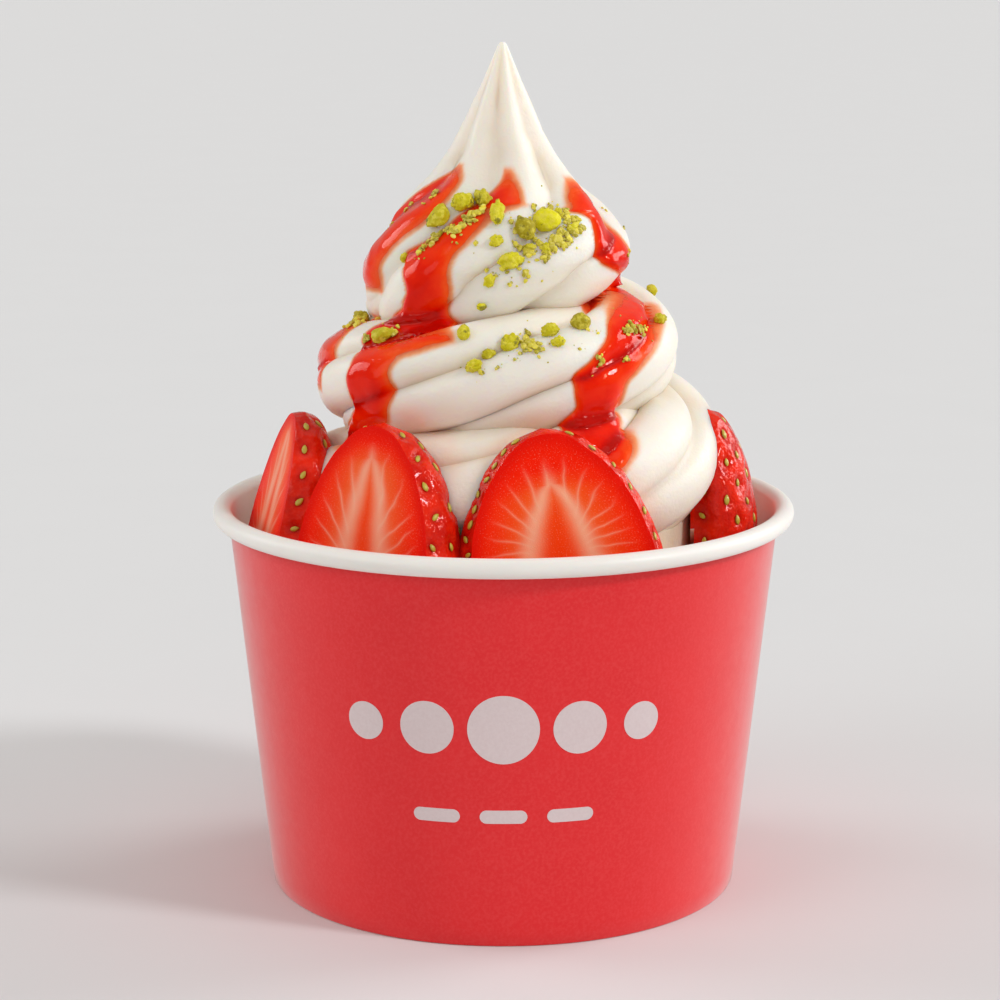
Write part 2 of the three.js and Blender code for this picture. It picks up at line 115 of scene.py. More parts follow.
bpy.ops.object.camera_add(
    location=(-0.000545, -0.4686, 0.15859), rotation=(math.radians(78.56), 0, 0)
)
camera = bpy.context.object
camera.data.lens = 103.78
camera.data.sensor_width = 36
camera.data.clip_start = 0.01
camera.data.clip_end = 100
bpy.context.scene.camera = camera

for name, azimuth, height, strength, width in LAMPS:
    bpy.ops.object.light_add(type="SUN")
    lamp = bpy.context.object
    lamp.name = name
    a, h = math.radians(azimuth), math.radians(height)
    towards = Vector((math.cos(a) * math.cos(h), math.sin(a) * math.cos(h), math.sin(h)))
    lamp.rotation_euler = (-towards).to_track_quat("-Z", "Y").to_euler()
    lamp.data.energy = strength
    lamp.data.angle = math.radians(width)
    lamp.data.color = LAMP_COLOUR

sky = bpy.data.worlds.new("even sky")
bpy.context.scene.world = sky
sky.use_nodes = True
background = sky.node_tree.nodes["Background"]
background.inputs["Color"].default_value = (1, 0.955, 0.9, 1)
background.inputs["Strength"].default_value = 0.41
bpy.context.scene.view_settings.view_transform = "Standard"

# ---- Cup wall
# One sheet of coated white card, printed on its outside, rolled into a cone and lapped at the back.
# Its top is curled outward into a hollow rim; its foot is folded up inside to grip the base.
SIDES = 160
CARD = 0.6
FOOT_RADIUS = 38.81
CONE_HEIGHT, CONE_SPREAD = 61.0, 6.48
CURL_CENTRE = (46.435, 62.585)
CURL_TUBE = 1.565
PRINT_TOP = 62.3
FOLD_GAP = 1.2
LAP = (86.0, 94.0)
LAP_SLOPE, LAP_LIFT = 4.0, 0.32


def wall_radius(z):
    """outer radius of the cone at a height, both in mm"""
    return FOOT_RADIUS + CONE_SPREAD * z / CONE_HEIGHT


def in_wall(z, layers, gap=0.0):
    """a point inside the cone by some layers of card and a gap, as (radius, height) in mm"""
    return wall_radius(z) - layers * CARD - gap, z


def curl(radius, angle):
    """a point of the curl's round section, as (radius, height) in mm"""
    angle = math.radians(angle)
    return CURL_CENTRE[0] + radius * math.cos(angle), CURL_CENTRE[1] + radius * math.sin(angle)


def draw_up(name, outline, closed=True):
    """a ring of edges is extruded and scaled through (radius, height) in mm, then closed on itself"""
    rows = list(outline) + ([outline[0]] if closed else [])
    select_only()
    bpy.ops.mesh.primitive_circle_add(
        vertices=SIDES, radius=rows[0][0] * MM, location=(0, 0, rows[0][1] * MM)
    )
    body = bpy.context.object
    body.name = name
    bpy.ops.object.transform_apply(location=True, rotation=True, scale=True)
    bpy.ops.object.mode_set(mode="EDIT")
    bpy.ops.mesh.select_mode(type="VERT")
    bpy.ops.mesh.select_all(action="SELECT")
    for (r0, z0), (r1, z1) in zip(rows, rows[1:]):
        bpy.ops.mesh.extrude_region_move(TRANSFORM_OT_translate={"value": (0, 0, (z1 - z0) * MM)})
        bpy.ops.transform.resize(value=(r1 / r0, r1 / r0, 1), center_override=(0, 0, z1 * MM))
    bpy.ops.mesh.select_all(action="SELECT")
    bpy.ops.mesh.remove_doubles(threshold=1e-6)
    bpy.ops.mesh.fill_holes(sides=0)
    bpy.ops.mesh.normals_make_consistent(inside=False)
    bpy.ops.object.mode_set(mode="OBJECT")
    return body


def places(mesh, kind="vertices"):
    """where a mesh's vertices, or the middles of its polygons, are: one row for each, in metres"""
    values = np.empty(len(getattr(mesh, kind)) * 3)
    getattr(mesh, kind).foreach_get("co" if kind == "vertices" else "center", values)
    return values.reshape(-1, 3)


def round_the_cup(points):
    """how far from the cup's axis places are, and at what azimuth in degrees"""
    azimuth = np.degrees(np.arctan2(points[:, 1], points[:, 0])) % 360
    return np.hypot(points[:, 0], points[:, 1]), azimuth


def spread(tree, value, low, high, out_low=0.0, out_high=1.0):
    """a value stretched from low..high to out_low..out_high, smooth at both ends"""
    stretch = tree.nodes.new("ShaderNodeMapRange")
    stretch.interpolation_type = "SMOOTHSTEP"
    for socket, limit in zip(list(stretch.inputs)[1:5], (low, high, out_low, out_high)):
        socket.default_value = limit
    tree.links.new(value, stretch.inputs[0])
    return stretch.outputs[0]


def relief(tree, shader, layers):
    """lays bumps of (height, depth in millimetres) over each other on a shader"""
    under = None
    for height, depth in layers:
        bump = tree.nodes.new("ShaderNodeBump")
        bump.inputs["Distance"].default_value = depth * MM
        tree.links.new(height, bump.inputs["Height"])
        if under:
            tree.links.new(under, bump.inputs["Normal"])
        under = bump.outputs["Normal"]
    tree.links.new(under, shader.inputs["Normal"])


outline = [(38.4, 0.0), (38.66, 0.08), (38.8, 0.3)]
outline += [(wall_radius(z), z) for z in range(3, 62, 3)]
outline += [curl(CURL_TUBE - CARD, angle) for angle in np.linspace(178, -110, 15)]
outline += [curl(CURL_TUBE, angle) for angle in np.linspace(-112, 176, 30)]
outline += [in_wall(z, 1) for z in range(60, 2, -4)]
outline += [in_wall(0.7, 1), in_wall(0.7, 1, FOLD_GAP), in_wall(6.0, 1, FOLD_GAP)]
outline += [in_wall(6.0, 2, FOLD_GAP), in_wall(0.2, 2, FOLD_GAP), in_wall(0.0, 2, 1.0)]
wall = draw_up("cup_wall_card", outline)

centres = places(wall.data, "polygons") / MM
radius, azimuth = round_the_cup(centres)
outside = (np.abs(radius - wall_radius(centres[:, 2])) < 0.12) & (centres[:, 2] < PRINT_TOP)
on_lap = outside & (azimuth > LAP[0]) & (azimuth < LAP[1]) & (centres[:, 2] > 0.3)
bpy.ops.object.mode_set(mode="EDIT")
bpy.ops.mesh.select_mode(type="FACE")
bpy.ops.mesh.select_all(action="DESELECT")
bpy.ops.object.mode_set(mode="OBJECT")
wall.data.polygons.foreach_set("select", on_lap)
bpy.ops.object.mode_set(mode="EDIT")
bpy.ops.mesh.extrude_region_move(TRANSFORM_OT_translate={"value": (0, 0, 0)})
bpy.ops.object.mode_set(mode="OBJECT")
points = places(wall.data)
picked = np.empty(len(points), bool)
wall.data.vertices.foreach_get("select", picked)
radius, azimuth = round_the_cup(points)
lift = np.clip((LAP[1] - 0.6 - azimuth) / LAP_SLOPE, 0, 1) * LAP_LIFT * MM
lift *= np.clip((61.5 * MM - points[:, 2]) / (1.2 * MM), 0, 1)
away = points[:, :2] / radius[:, None]
points[picked, :2] += (away * lift[:, None])[picked]
wall.data.vertices.foreach_set("co", points.ravel())
bpy.ops.object.mode_set(mode="EDIT")
bpy.ops.mesh.select_all(action="SELECT")
bpy.ops.mesh.remove_doubles(threshold=1e-6)
bpy.ops.mesh.normals_make_consistent(inside=False)
bpy.ops.object.mode_set(mode="OBJECT")

printed, tree, shader = finish(
    "printed card", Roughness=0.55, Sheen_Weight=1.0, Sheen_Roughness=0.35, Specular_IOR_Level=0.38,
)
tone = blend(tree, grain(tree, 9), (0.75, 0.009, 0.013, 1), (0.81, 0.013, 0.017, 1))
fibres = spread(tree, grain(tree, 0.5, 2), 0.35, 0.75, 0.0, 0.35)
tone = blend(tree, fibres, tone, (0.84, 0.06, 0.06, 1))
tree.links.new(tone, shader.inputs["Base Color"])
tree.links.new(spread(tree, grain(tree, 2), 0.3, 0.7, 0.46, 0.56), shader.inputs["Roughness"])
relief(tree, shader, [(grain(tree, 0.28, 4), 0.012), (grain(tree, 14), 0.05)])

bare, tree, shader = finish(
    "white card", Roughness=0.42, Sheen_Weight=0.1, Subsurface_Weight=0.12, Subsurface_Scale=0.6 * MM,
)
tone = blend(tree, grain(tree, 5), (0.85, 0.815, 0.76, 1), (0.88, 0.85, 0.80, 1))
tree.links.new(tone, shader.inputs["Base Color"])
relief(tree, shader, [(grain(tree, 0.3, 4), 0.01), (grain(tree, 6), 0.05)])

wall.data.materials.append(printed)
wall.data.materials.append(bare)
centres = places(wall.data, "polygons") / MM
radius, _ = round_the_cup(centres)
print_side = (np.abs(radius - wall_radius(centres[:, 2])) < 0.45) & (centres[:, 2] < PRINT_TOP)
in_fold = (centres[:, 2] < 0.2) | ((radius < wall_radius(0) - 1.9) & (centres[:, 2] < 3))
wall.data.polygons.foreach_set("material_index", np.where(print_side | in_fold, 0, 1))
bpy.ops.object.shade_smooth_by_angle(angle=math.radians(35))
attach(wall, "root")
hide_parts("cup_wall")

# ---- Cup base
# A disc of the same card with its edge turned down, held in the fold of the wall and raised off
# the table by it.
DISC_UNDER, DISC_TOP = 6.9, 7.5
DISC_FIT = 0.3
edge = in_wall(DISC_UNDER, 1, DISC_FIT)[0] - CARD
outline = [(6, DISC_UNDER), (20, DISC_UNDER), (edge - 0.5, DISC_UNDER), (edge - 0.1, 6.7)]
outline += [in_wall(4.0, 2, DISC_FIT), in_wall(1.0, 2, DISC_FIT), in_wall(1.0, 1, DISC_FIT)]
outline += [in_wall(4.0, 1, DISC_FIT), in_wall(7.2, 1, DISC_FIT), in_wall(DISC_TOP, 1, 2 * DISC_FIT)]
outline += [(20, DISC_TOP), (6, DISC_TOP)]
base = draw_up("cup_base_card", outline, closed=False)
base.data.materials.append(bare)
bpy.ops.object.shade_smooth_by_angle(angle=math.radians(35))
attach(base, "root")
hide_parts("cup_base")

# ---- Printed marks
# A row of plain round spots over a broken rule, in thick pale ink on the front of the wall.
INK, INK_ROOT = 0.05, 0.25
MARK_HEIGHT = 36.4
RULE_DROP = 14.4
# place across the front, size of the spot
SPOTS = [(-22.4, 6.2), (-12.0, 8.6), (0.0, 11.2), (12.0, 8.6), (22.4, 6.2)]
RULE_LENGTH, RULE_WIDTH = 7.4, 2.2
RINGS = 5


def on_wall(mesh, up, across):
    """wraps a flat drawing, X across and Y up in mm, round the front of the wall"""
    flat = places(mesh)
    height = up + flat[:, 1] / MM
    reach = wall_radius(height) + flat[:, 2] / MM
    turn = np.radians(270) + (across + flat[:, 0] / MM) / wall_radius(up)
    wrapped = np.stack([reach * np.cos(turn), reach * np.sin(turn), height], 1) * MM
    mesh.vertices.foreach_set("co", wrapped.ravel())


def mark(across, up, width, height):
    """a round-ended bar, or a round spot where it is as wide as it is high"""
    select_only()
    bpy.ops.mesh.primitive_circle_add(vertices=64, radius=height / 2 * MM, fill_type="NGON")
    spot = bpy.context.object
    bpy.ops.object.mode_set(mode="EDIT")
    bpy.ops.mesh.select_mode(type="FACE")
    bpy.ops.mesh.select_all(action="SELECT")
    for _ in range(RINGS - 1):
        bpy.ops.mesh.inset(thickness=height / 2 / RINGS * MM, depth=0)
    bpy.ops.mesh.select_all(action="SELECT")
    bpy.ops.mesh.extrude_region_move(TRANSFORM_OT_translate={"value": (0, 0, INK_ROOT * MM)})
    bpy.ops.mesh.select_all(action="SELECT")
    bpy.ops.mesh.normals_make_consistent(inside=False)
    bpy.ops.mesh.bisect(plane_co=(0, 0, 0), plane_no=(1, 0, 0), threshold=1e-6)
    bpy.ops.object.mode_set(mode="OBJECT")
    flat = places(spot.data)
    flat[:, 2] += (INK - INK_ROOT) * MM
    flat[:, 0] += np.sign(np.round(flat[:, 0] / MM, 3)) * (width - height) / 2 * MM
    spot.data.vertices.foreach_set("co", flat.ravel())
    bpy.ops.object.mode_set(mode="EDIT")
    for cut in np.arange(-width / 2 + 0.6, width / 2, 0.8):
        bpy.ops.mesh.select_all(action="SELECT")
        bpy.ops.mesh.bisect(plane_co=(cut * MM, 0, 0), plane_no=(1, 0, 0), threshold=1e-6)
    bpy.ops.object.mode_set(mode="OBJECT")
    on_wall(spot.data, up, across)
    return spot


def joined(name, pieces):
    """the pieces as one object"""
    select_only(*pieces)
    bpy.ops.object.join()
    pieces[0].name = name
    return pieces[0]


marks = [mark(x, MARK_HEIGHT, size, size) for x, size in SPOTS]
marks += [mark(x, MARK_HEIGHT - RULE_DROP, RULE_LENGTH, RULE_WIDTH) for x in (-10.5, 0.0, 10.5)]
ink = joined("printed_marks", marks)
pale_ink, tree, shader = finish("pale ink", Roughness=0.5, Sheen_Weight=0.15)
tone = blend(tree, grain(tree, 0.5, 4), (0.66, 0.53, 0.53, 1), (0.76, 0.65, 0.65, 1))
tree.links.new(tone, shader.inputs["Base Color"])
relief(tree, shader, [(grain(tree, 0.25, 4), 0.012)])
ink.data.materials.append(pale_ink)
bpy.ops.object.shade_smooth_by_angle(angle=math.radians(40))
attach(ink, "root")

# ---- Strawberry halves
# Ripe berries cut lengthwise a little past the middle, so that a rim of skin shows round the cut
# face. They stand tip up in the yogurt; the seeds sit in dimples of the glossy skin.
SEED = (0.92, 0.5, 1.55)
SEED_PITCH, SEED_SINK = 3.9, 0.36
DIMPLE = (1.15, 1.6, 1.5)
DIMPLE_DEPTH = 0.62
OFF_CENTRE = 0.2
SET_BACK = 1.6
CUT_COLUMN = 27
CUT_BORDER = 0.9
FAN_STEP, FAN_WIDTH = 13.2, 15.4
ROOM, ROOM_BY_RIM, RIM_TOP = 0.4, 44.45, 64.6
# the first angles and sizes set a berry's tip in the cup and turn it there; skin_out is 1 where the
# skin faces the wall, and pale is how pale the flesh is
Berry = namedtuple("Berry", "name azimuth tip_radius tip_height lean yaw roll "
                            "half_width length thickness skin_out pale")
BERRIES = [Berry(*row) for row in (
    ("strawberry_front_right", 279.5, 35.4, 82.0, 9, -4, 8, 16.2, 37, 12.5, 0, 0.35),
    ("strawberry_front_left", 238, 36.6, 82.3, 9, -8, -2, 14.8, 36, 15.5, 0, 0.62),
    ("strawberry_left", 198, 35.2, 80.8, 14, -4, -8, 14.2, 35, 12.2, 0, 0.8),
    ("strawberry_right", 355, 31.8, 79.6, 0, 0, 4, 12.0, 35, 10.5, 1, 0.4),
    ("strawberry_back_right", 40, 35.4, 80.0, 10, 6, 5, 13.4, 35, 12.0, 0, 0.5),
    ("strawberry_back", 92, 35.6, 81.0, 10, -6, -6, 13.8, 36, 12.0, 0, 0.3),
    ("strawberry_back_left", 137, 34.0, 72.5, -6, 4, 4, 12.8, 33, 12.0, 1, 0.5),
)]
# distance from the tip, half width, both as shares of the whole
BERRY_OUTLINE = [
    (0.0, 0.0), (0.034, 0.3), (0.108, 0.5), (0.18, 0.65), (0.29, 0.8), (0.44, 0.93),
    (0.6, 1.0), (0.78, 0.95), (0.9, 0.74), (0.97, 0.42), (1.0, 0.0),
]


def smooth(table, x, column=1):
    """smooth value of one column of a table, never outside its rows' values"""
    rows = np.array(table, float)
    knots, values = rows[:, 0], rows[:, column]
    slopes = np.diff(values) / np.diff(knots)
    product = slopes[:-1] * slopes[1:]
    total = np.where(product > 0, slopes[:-1] + slopes[1:], 1)
    middle = np.where(product > 0, 2 * product / total, 0)
    tangents = np.concatenate([slopes[:1], middle, slopes[-1:]])
    x = np.clip(x, knots[0], knots[-1])
    i = np.clip(np.searchsorted(knots, x, side="right") - 1, 0, len(slopes) - 1)
    width = knots[i + 1] - knots[i]
    t = (x - knots[i]) / width
    low = (2 * t**3 - 3 * t**2 + 1) * values[i] + (t**3 - 2 * t**2 + t) * width * tangents[i]
    high = (3 * t**2 - 2 * t**3) * values[i + 1] + (t**3 - t**2) * width * tangents[i + 1]
    return low + high


def berry_frame(berry):
    """where a berry stands: X across the cut face, Y out of the skin's back, Z to the tip, in mm"""
    turn, lean = math.radians(berry.azimuth + berry.yaw), math.radians(berry.lean)
    outward = Vector((math.cos(turn), math.sin(turn), 0))
    up = Vector((0, 0, 1))
    along = up * math.cos(lean) - outward * math.sin(lean)
    face = outward * math.cos(lean) + up * math.sin(lean)
    along = Matrix.Rotation(math.radians(berry.roll), 3, face) @ along
    across = along.cross(face).normalized()
    cut = -face if berry.skin_out else face
    across = -across if berry.skin_out else across
    at = math.radians(berry.azimuth)
    tip = Vector((berry.tip_radius * math.cos(at), berry.tip_radius * math.sin(at), berry.tip_height))
    return np.array([list(across), list(-cut), list(along)]), np.array(tip)


def berry_skin(berry, share_down, angle):
    """a point of the whole berry's skin, in mm, from its distance down and the angle round it"""
    share = smooth(BERRY_OUTLINE, share_down)
    depth = (berry.thickness - SET_BACK) * share
    return np.stack([
        berry.half_width * share * np.cos(angle),
        SET_BACK + depth * OFF_CENTRE + depth * (1 - OFF_CENTRE) * np.sin(angle),
        -berry.length * share_down,
    ], -1)


def cut_angle(berry, share_down):
    """how far round, below the middle of each side, the skin meets the cut"""
    depth = (berry.thickness - SET_BACK) * smooth(BERRY_OUTLINE, share_down)
    across = (SET_BACK + depth * OFF_CENTRE) / np.maximum(depth * (1 - OFF_CENTRE), 1e-6)
    return np.arcsin(np.minimum(across, 0.97))


def berry_half(berry, rings, sides, grow=0.0):
    """a ball is drawn out to the berry's outline and the part before the cut is taken off"""
    select_only()
    bpy.ops.mesh.primitive_uv_sphere_add(segments=sides, ring_count=rings, radius=1)
    half = bpy.context.object
    ball = places(half.data)
    down = np.clip((1 - ball[:, 2]) / 2, 0, 1)
    turn = (np.degrees(np.arctan2(ball[:, 1], ball[:, 0])) + 90) % 360
    cut = np.degrees(cut_angle(berry, down))
    columns = (0, 90 - CUT_COLUMN, 270 + CUT_COLUMN, 360)
    angle = np.array([np.interp(t, columns, (0, 90 - c, 270 + c, 360)) for t, c in zip(turn, cut)])
    skin = berry_skin(berry, down, np.radians(angle - 90)) + ball * grow
    half.data.vertices.foreach_set("co", (skin * MM).ravel())
    bpy.ops.object.mode_set(mode="EDIT")
    bpy.ops.mesh.select_all(action="SELECT")
    bpy.ops.mesh.bisect(
        plane_co=(0, -grow * MM, 0), plane_no=(0, 1, 0), use_fill=True, clear_inner=True,
        threshold=1e-6,
    )
    bpy.ops.mesh.select_all(action="SELECT")
    bpy.ops.mesh.normals_make_consistent(inside=False)
    bpy.ops.mesh.select_all(action="DESELECT")
    bpy.ops.object.mode_set(mode="OBJECT")
    return half


def set_value(mesh, name, values, kind="FLOAT"):
    """keeps one value for each vertex under a name, for the finishes to read"""
    layer = mesh.attributes.new(name, kind, "POINT")
    layer.data.foreach_set("value" if kind == "FLOAT" else "vector", np.ravel(values))


def seed_places(berry, draw):
    """seeds along both edges of the cut, then an even scatter over the skin"""
    spots = []
    for start in (-0.27, math.pi + 0.27):
        gap = SEED_PITCH * draw.uniform(0.3, 0.6) * 2.1
        for down in np.linspace(0.03, 0.9, 400):
            here = berry_skin(berry, down, start + draw.uniform(-0.09, 0.09))
            if not spots or min(np.linalg.norm(here - s[2]) for s in spots) > gap:
                spots.append((down, start, here))
    tries, golden_angle = 420, 2.399963
    for k in range(tries):
        down = (k + 0.5) / tries
        angle = (k * golden_angle) % (2 * math.pi)
        here = berry_skin(berry, down, angle)
        if here[1] < 0.9 or not 0.02 < down < 0.93:
            continue
        if min(np.linalg.norm(here - s[2]) for s in spots) > SEED_PITCH * draw.uniform(0.9, 1.06):
            spots.append((down, angle, here))
    return spots


def seed_blank():
    """one seed: a ball drawn to a blunt drop, tip up"""
    select_only()
    bpy.ops.mesh.primitive_ico_sphere_add(subdivisions=2, radius=0.5)
    blank = bpy.context.object
    bpy.ops.transform.resize(value=SEED)
    bpy.ops.object.transform_apply(location=True, rotation=True, scale=True)
    drop = places(blank.data)
    taper = 1 - 0.42 * np.clip(drop[:, 2] / SEED[2] * 2, 0, 1) ** 1.5
    drop[:, :2] *= taper[:, None]
    blank.data.vertices.foreach_set("co", drop.ravel())
    return blank


def copies(name, blank, frames):
    """copies of a blank, each set by its own 3x3 axes (as rows) and place, joined to one mesh"""
    shape = places(blank.data)
    faces = [tuple(p.vertices) for p in blank.data.polygons]
    points = [shape @ np.asarray(axes) + np.asarray(at) for axes, at in frames]
    all_faces = [tuple(v + k * len(shape) for v in f) for k in range(len(frames)) for f in faces]
    mesh = bpy.data.meshes.new(name)
    mesh.from_pydata(np.concatenate(points).tolist(), [], all_faces)
    piece = bpy.data.objects.new(name, mesh)
    bpy.context.scene.collection.objects.link(piece)
    return piece


def facing(normal, upward, draw=None, swing=0.0):
    """axes (as rows) with Y along the normal and Z as near upward as it can be"""
    y = np.asarray(normal) / np.linalg.norm(normal)
    z = np.asarray(upward) - y * np.dot(upward, y)
    z = z / (np.linalg.norm(z) or 1)
    x = np.cross(y, z)
    if draw is not None:
        turn = draw.uniform(-swing, swing)
        x, z = x * math.cos(turn) + z * math.sin(turn), z * math.cos(turn) - x * math.sin(turn)
    return np.stack([x, y, z])


def room_limit(z):
    """how far out a berry may reach at a height, clear of the wall and of the rim"""
    inside = wall_radius(np.minimum(z, CONE_HEIGHT)) - CARD - ROOM
    by_rim = np.where(z > CONE_HEIGHT, np.minimum(inside, ROOM_BY_RIM), inside)
    return np.where(z > RIM_TOP, np.inf, by_rim)


def number(tree, operation, *values):
    """one step of arithmetic on numbers or sockets"""
    step = tree.nodes.new("ShaderNodeMath")
    step.operation = operation
    for socket, value in zip(step.inputs, values):
        if isinstance(value, bpy.types.NodeSocket):
            tree.links.new(value, socket)
        else:
            socket.default_value = value
    return step.outputs[0]


def reading(tree, name, output="Fac"):
    """the value that set_value kept under a name"""
    layer = tree.nodes.new("ShaderNodeAttribute")
    layer.attribute_name = name
    return layer.outputs[output]


skin_red, tree, shader = finish(
    "strawberry skin", Roughness=0.11, Coat_Weight=0.18, Coat_Roughness=0.03,
    Subsurface_Weight=0.2, Subsurface_Radius=(1.0, 0.12, 0.06), Subsurface_Scale=1.4 * MM,
    Specular_IOR_Level=0.25, Specular_Tint=(1.0, 0.45, 0.35, 1.0),
)
ripeness = spread(tree, grain(tree, 5), 0.3, 0.7)
tone = blend(tree, ripeness, (0.62, 0.007, 0.002, 1), (0.88, 0.022, 0.003, 1))
tone = blend(tree, spread(tree, grain(tree, 0.5), 0.5, 0.8, 0.0, 0.25), tone, (0.86, 0.08, 0.03, 1))
# painted shade: the skin is made darker in the dimples round the seeds
dark = spread(tree, reading(tree, "dimple"), 0.25, 1.0, 0.0, 0.65)
tone = blend(tree, dark, tone, (0.44, 0.004, 0.002, 1))
tree.links.new(tone, shader.inputs["Base Color"])
relief(tree, shader, [(grain(tree, 1.5, 2), 0.42), (grain(tree, 0.5, 2), 0.06)])

flesh_red, tree, shader = finish(
    "strawberry flesh", Roughness=0.4, Subsurface_Weight=0.25,
    Subsurface_Radius=(1.0, 0.2, 0.08), Subsurface_Scale=1.2 * MM, Specular_IOR_Level=0.03,
)
place = reading(tree, "slice", "Vector")
pale, rim = reading(tree, "pale"), reading(tree, "rim")


def patches(scale, detail):
    """uneven patches over the cut, in the slice's own millimetres"""
    patch = tree.nodes.new("ShaderNodeTexNoise")
    patch.inputs["Scale"].default_value = scale
    patch.inputs["Detail"].default_value = detail
    tree.links.new(place, patch.inputs["Vector"])
    return patch.outputs["Fac"]


def plus(*values):
    return number(tree, "ADD", *values)


def minus(*values):
    return number(tree, "SUBTRACT", *values)


def times(*values):
    return number(tree, "MULTIPLY", *values)


def hill(value, width):
    """1 where the value is nought, falling off to both sides"""
    share = number(tree, "DIVIDE", value, width)
    return number(tree, "EXPONENT", times(times(share, share), -1.0))


# where a place is: across from the middle, down from the tip, below the top of the pale arch, and
# beyond its arm
split = tree.nodes.new("ShaderNodeSeparateXYZ")
tree.links.new(place, split.inputs["Vector"])
sway = minus(patches(0.12, 2.0), 0.5)
aside = plus(split.outputs["X"], times(sway, 1.5))
across = number(tree, "ABSOLUTE", aside)
down = plus(split.outputs["Z"], sway)
below = minus(down, minus(12.4, times(pale, 10.5)))
inside = number(tree, "MAXIMUM", below, 0.0)
arm = times(number(tree, "POWER", inside, 0.55), minus(1.62, times(pale, 1.15)))
beyond = minus(across, arm)

# the veins: rays that fan out from a root below the arch, and grow finer outward
fan_root = plus(times(pale, 16.6), 13.7)
order = number(tree, "DIVIDE", number(tree, "ARCTAN2", across, minus(fan_root, down)),
               math.radians(FAN_STEP))
order = plus(plus(order, times(sway, 1.1)), times(number(tree, "SIGN", aside), 0.14))
saw = number(tree, "ABSOLUTE", minus(number(tree, "FRACT", order), 0.5))
sharp = plus(times(number(tree, "MAXIMUM", beyond, 0.0), 0.8), 3.0)
vein = times(number(tree, "POWER", times(saw, 2.0), sharp), spread(tree, rim, 0.9, 0.55))
vein = times(times(vein, spread(tree, beyond, -0.8, 0.4)), spread(tree, below, -5.5, -1.5))

# the arch: a pale band on the arm, a warm halo round it and a red core under it
begun = spread(tree, below, -3.0, 2.0)
band = times(hill(beyond, plus(times(inside, 0.07), 0.9)), begun)
halo = times(hill(beyond, 4.5), begun)
core = spread(tree, beyond, -1.0, -3.0)
light = blend(tree, pale, (1.0, 0.50, 0.30, 1), (0.94, 0.48, 0.36, 1))
speck = patches(4.6, 3.0)
tone = blend(tree, times(halo, 0.95), (1.0, 0.015, 0.001, 1), (1.0, 0.11, 0.003, 1))
for amount, colour in (
    (times(halo, times(pale, 0.12)), light),
    (times(core, 0.75), (0.97, 0.055, 0.002, 1)),
    (times(vein, 0.52), light),
    (times(band, minus(0.9, times(pale, 0.4))), light),
    # painted glints: fine pale specks stand in for light caught on the wet cut
    (spread(tree, speck, 0.55, 0.72, 0.0, 0.25), light),
    (spread(tree, rim, 0.8, 1.0, 0.0, 0.75), (0.74, 0.004, 0.002, 1)),
):
    tone = blend(tree, amount, tone, colour)
tree.links.new(tone, shader.inputs["Base Color"])
relief(tree, shader, [(speck, 0.06)])

seed_gold, tree, shader = finish("strawberry seed", Roughness=0.32, Coat_Weight=0.3)
tone = blend(tree, grain(tree, 0.8, 2), (0.38, 0.30, 0.018, 1), (0.66, 0.55, 0.06, 1))
tree.links.new(tone, shader.inputs["Base Color"])
relief(tree, shader, [(grain(tree, 0.3), 0.03)])


def cut_faces(mesh):
    """which of a half's polygons lie in the cut"""
    return np.array([p.center.y < 1e-5 and p.normal.y < -0.99 for p in mesh.polygons], int)


